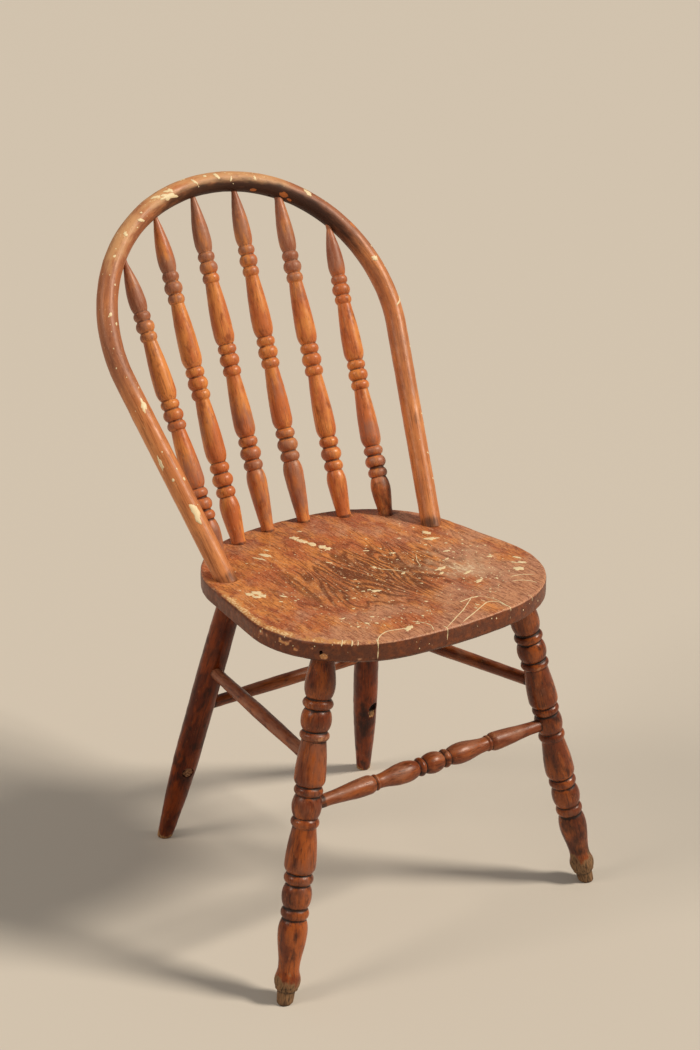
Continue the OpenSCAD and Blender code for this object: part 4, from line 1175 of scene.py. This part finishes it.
# %% Spray on the seat
chance = np.random.default_rng(7)
SPECK = (9, 3)  # columns and rings of a small drop
ZONES = [(-130, 58, 30, 16, 90), (60, 190, 60, 45, 110), (130, 110, 35, 45, 110), (-40, 50, 80, 22, 110),
         (-90, 200, 70, 70, 70), (0, 190, 120, 110, 240)]  # x, back, spread across, spread back, count
for cx, cy, wide, deep, count in ZONES:
    for _ in range(count):
        px, py = chance.normal(cx, wide), chance.normal(cy, deep)
        size = 0.65 + chance.exponential(0.6)
        inward = hypot(px / 186, (py - 195) / 184)
        stretch, turn, number = chance.uniform(1, 2.2), chance.uniform(-1.6, -0.6), int(chance.integers(1000))
        if inward < 0.93 and size < 5:
            seat_paint.append(drop_of_paint(on_top, (px, py), (size * stretch, size), turn, number,
                                            0.18, 0.25, *SPECK))
piece("paint_on_seat", seat_paint, cream_paint)


# %% Runs of paint over the seat's edge
def over_edge(u, w, out):
    """u is the distance round the outline from the middle of the front. w is the distance over the
    edge from where its rounding starts: inwards on the top if negative, then round, then down."""
    run = u % edge_run[-1]
    place, out_way = walked(run, edge_run, edge), walked(run, edge_run, edge_facing)
    r = np.interp(run, column, rounding)
    turn = np.clip(w / r, 0, pi / 2)
    inset = r * (1 - sin(turn)) + maximum(-w, 0) - out * sin(turn) + 0.3 * sin(turn)
    fall = r * (1 - cos(turn)) + maximum(w - r * pi / 2, 0) - out * cos(turn)
    x, back = np.moveaxis(place - out_way * inset[..., None], -1, 0)
    return joined(x, FRONT + back, SEAT_HEIGHT - back * SEAT_SLOPE - fall)


RUNS = [(-118, -5, 23, 1.6), (-28, -4, 18, 1.2), (69, -12, 17, 1.5), (-160, -3, 8, 2.0), (-148, -3, 7, 1.5),
        (-141, -4, 6, 1.2), (112, -3, 9, 1.0)]  # place round the edge, where it starts and ends, width
side_paint = [trail_of_paint(over_edge, [(u, a), (u + 0.8, (a + b) / 2), (u, b)], w, 120 + n)
              for n, (u, a, b, w) in enumerate(RUNS)]
for n in range(34):
    u, w = chance.uniform(-300, 160), chance.uniform(6, 22)
    size = 0.8 + chance.exponential(0.7)
    side_paint.append(drop_of_paint(over_edge, (u, w), (size, size * 1.3), 0.0, n, 0.15, 0.3, *SPECK))
piece("paint_on_seat_edge", side_paint, cream_paint)

# %% [markdown]
# On the bow a place is the distance along its line from the left foot and the angle round it, from
# the outer side towards the front.


# %% Paint on the bow
def on_bow(u, v, out):
    """u is the distance along the bow, v the distance round it from its outer side."""
    return round_bow(u, v / (BOW_D / 2), out)


BOW_DROPS = [  # distance, angle in degrees, length, width, thickness
    (88, 82, 26, 9, 0.5), (161, 29, 18, 4, 0.4), (235, 89, 17, 8, 0.5), (553, 92, 24, 9, 0.7),
    (562, 70, 14, 6, 0.6), (541, 60, 12, 5, 0.6), (771, 73, 11, 7, 0.6), (765, 64, 7, 5, 0.5),
    (894, 92, 9, 8, 0.7), (956, 45, 30, 4, 0.7), (500, 96, 9, 5, 0.5), (602, 80, 12, 4, 0.4),
    (636, 70, 10, 5, 0.4), (690, 84, 7, 4, 0.4), (1115, 45, 9, 2.5, 0.3), (1130, 40, 7, 2, 0.3),
    (1205, 52, 6, 2, 0.3), (1170, 60, 5, 2, 0.3), (470, 75, 7, 4, 0.4), (655, 100, 8, 3, 0.4),
]
bow_paint = [drop_of_paint(on_bow, (s, radians(a) * BOW_D / 2), (length, width), 0.1 * n, 200 + n,
                           thick, 0.5, 30, 6)
             for n, (s, a, length, width, thick) in enumerate(BOW_DROPS)]
for n in range(70):
    s, a = chance.normal(600, 230), chance.uniform(0.2, 2.2)
    size = 0.9 + chance.exponential(0.9)
    if 20 < s < 1230:
        spot = (s, a * BOW_D / 2)
        bow_paint.append(drop_of_paint(on_bow, spot, (size * 1.4, size), 0.3, 300 + n, 0.2, 0.3, *SPECK))
piece("paint_on_bow", bow_paint, cream_paint)
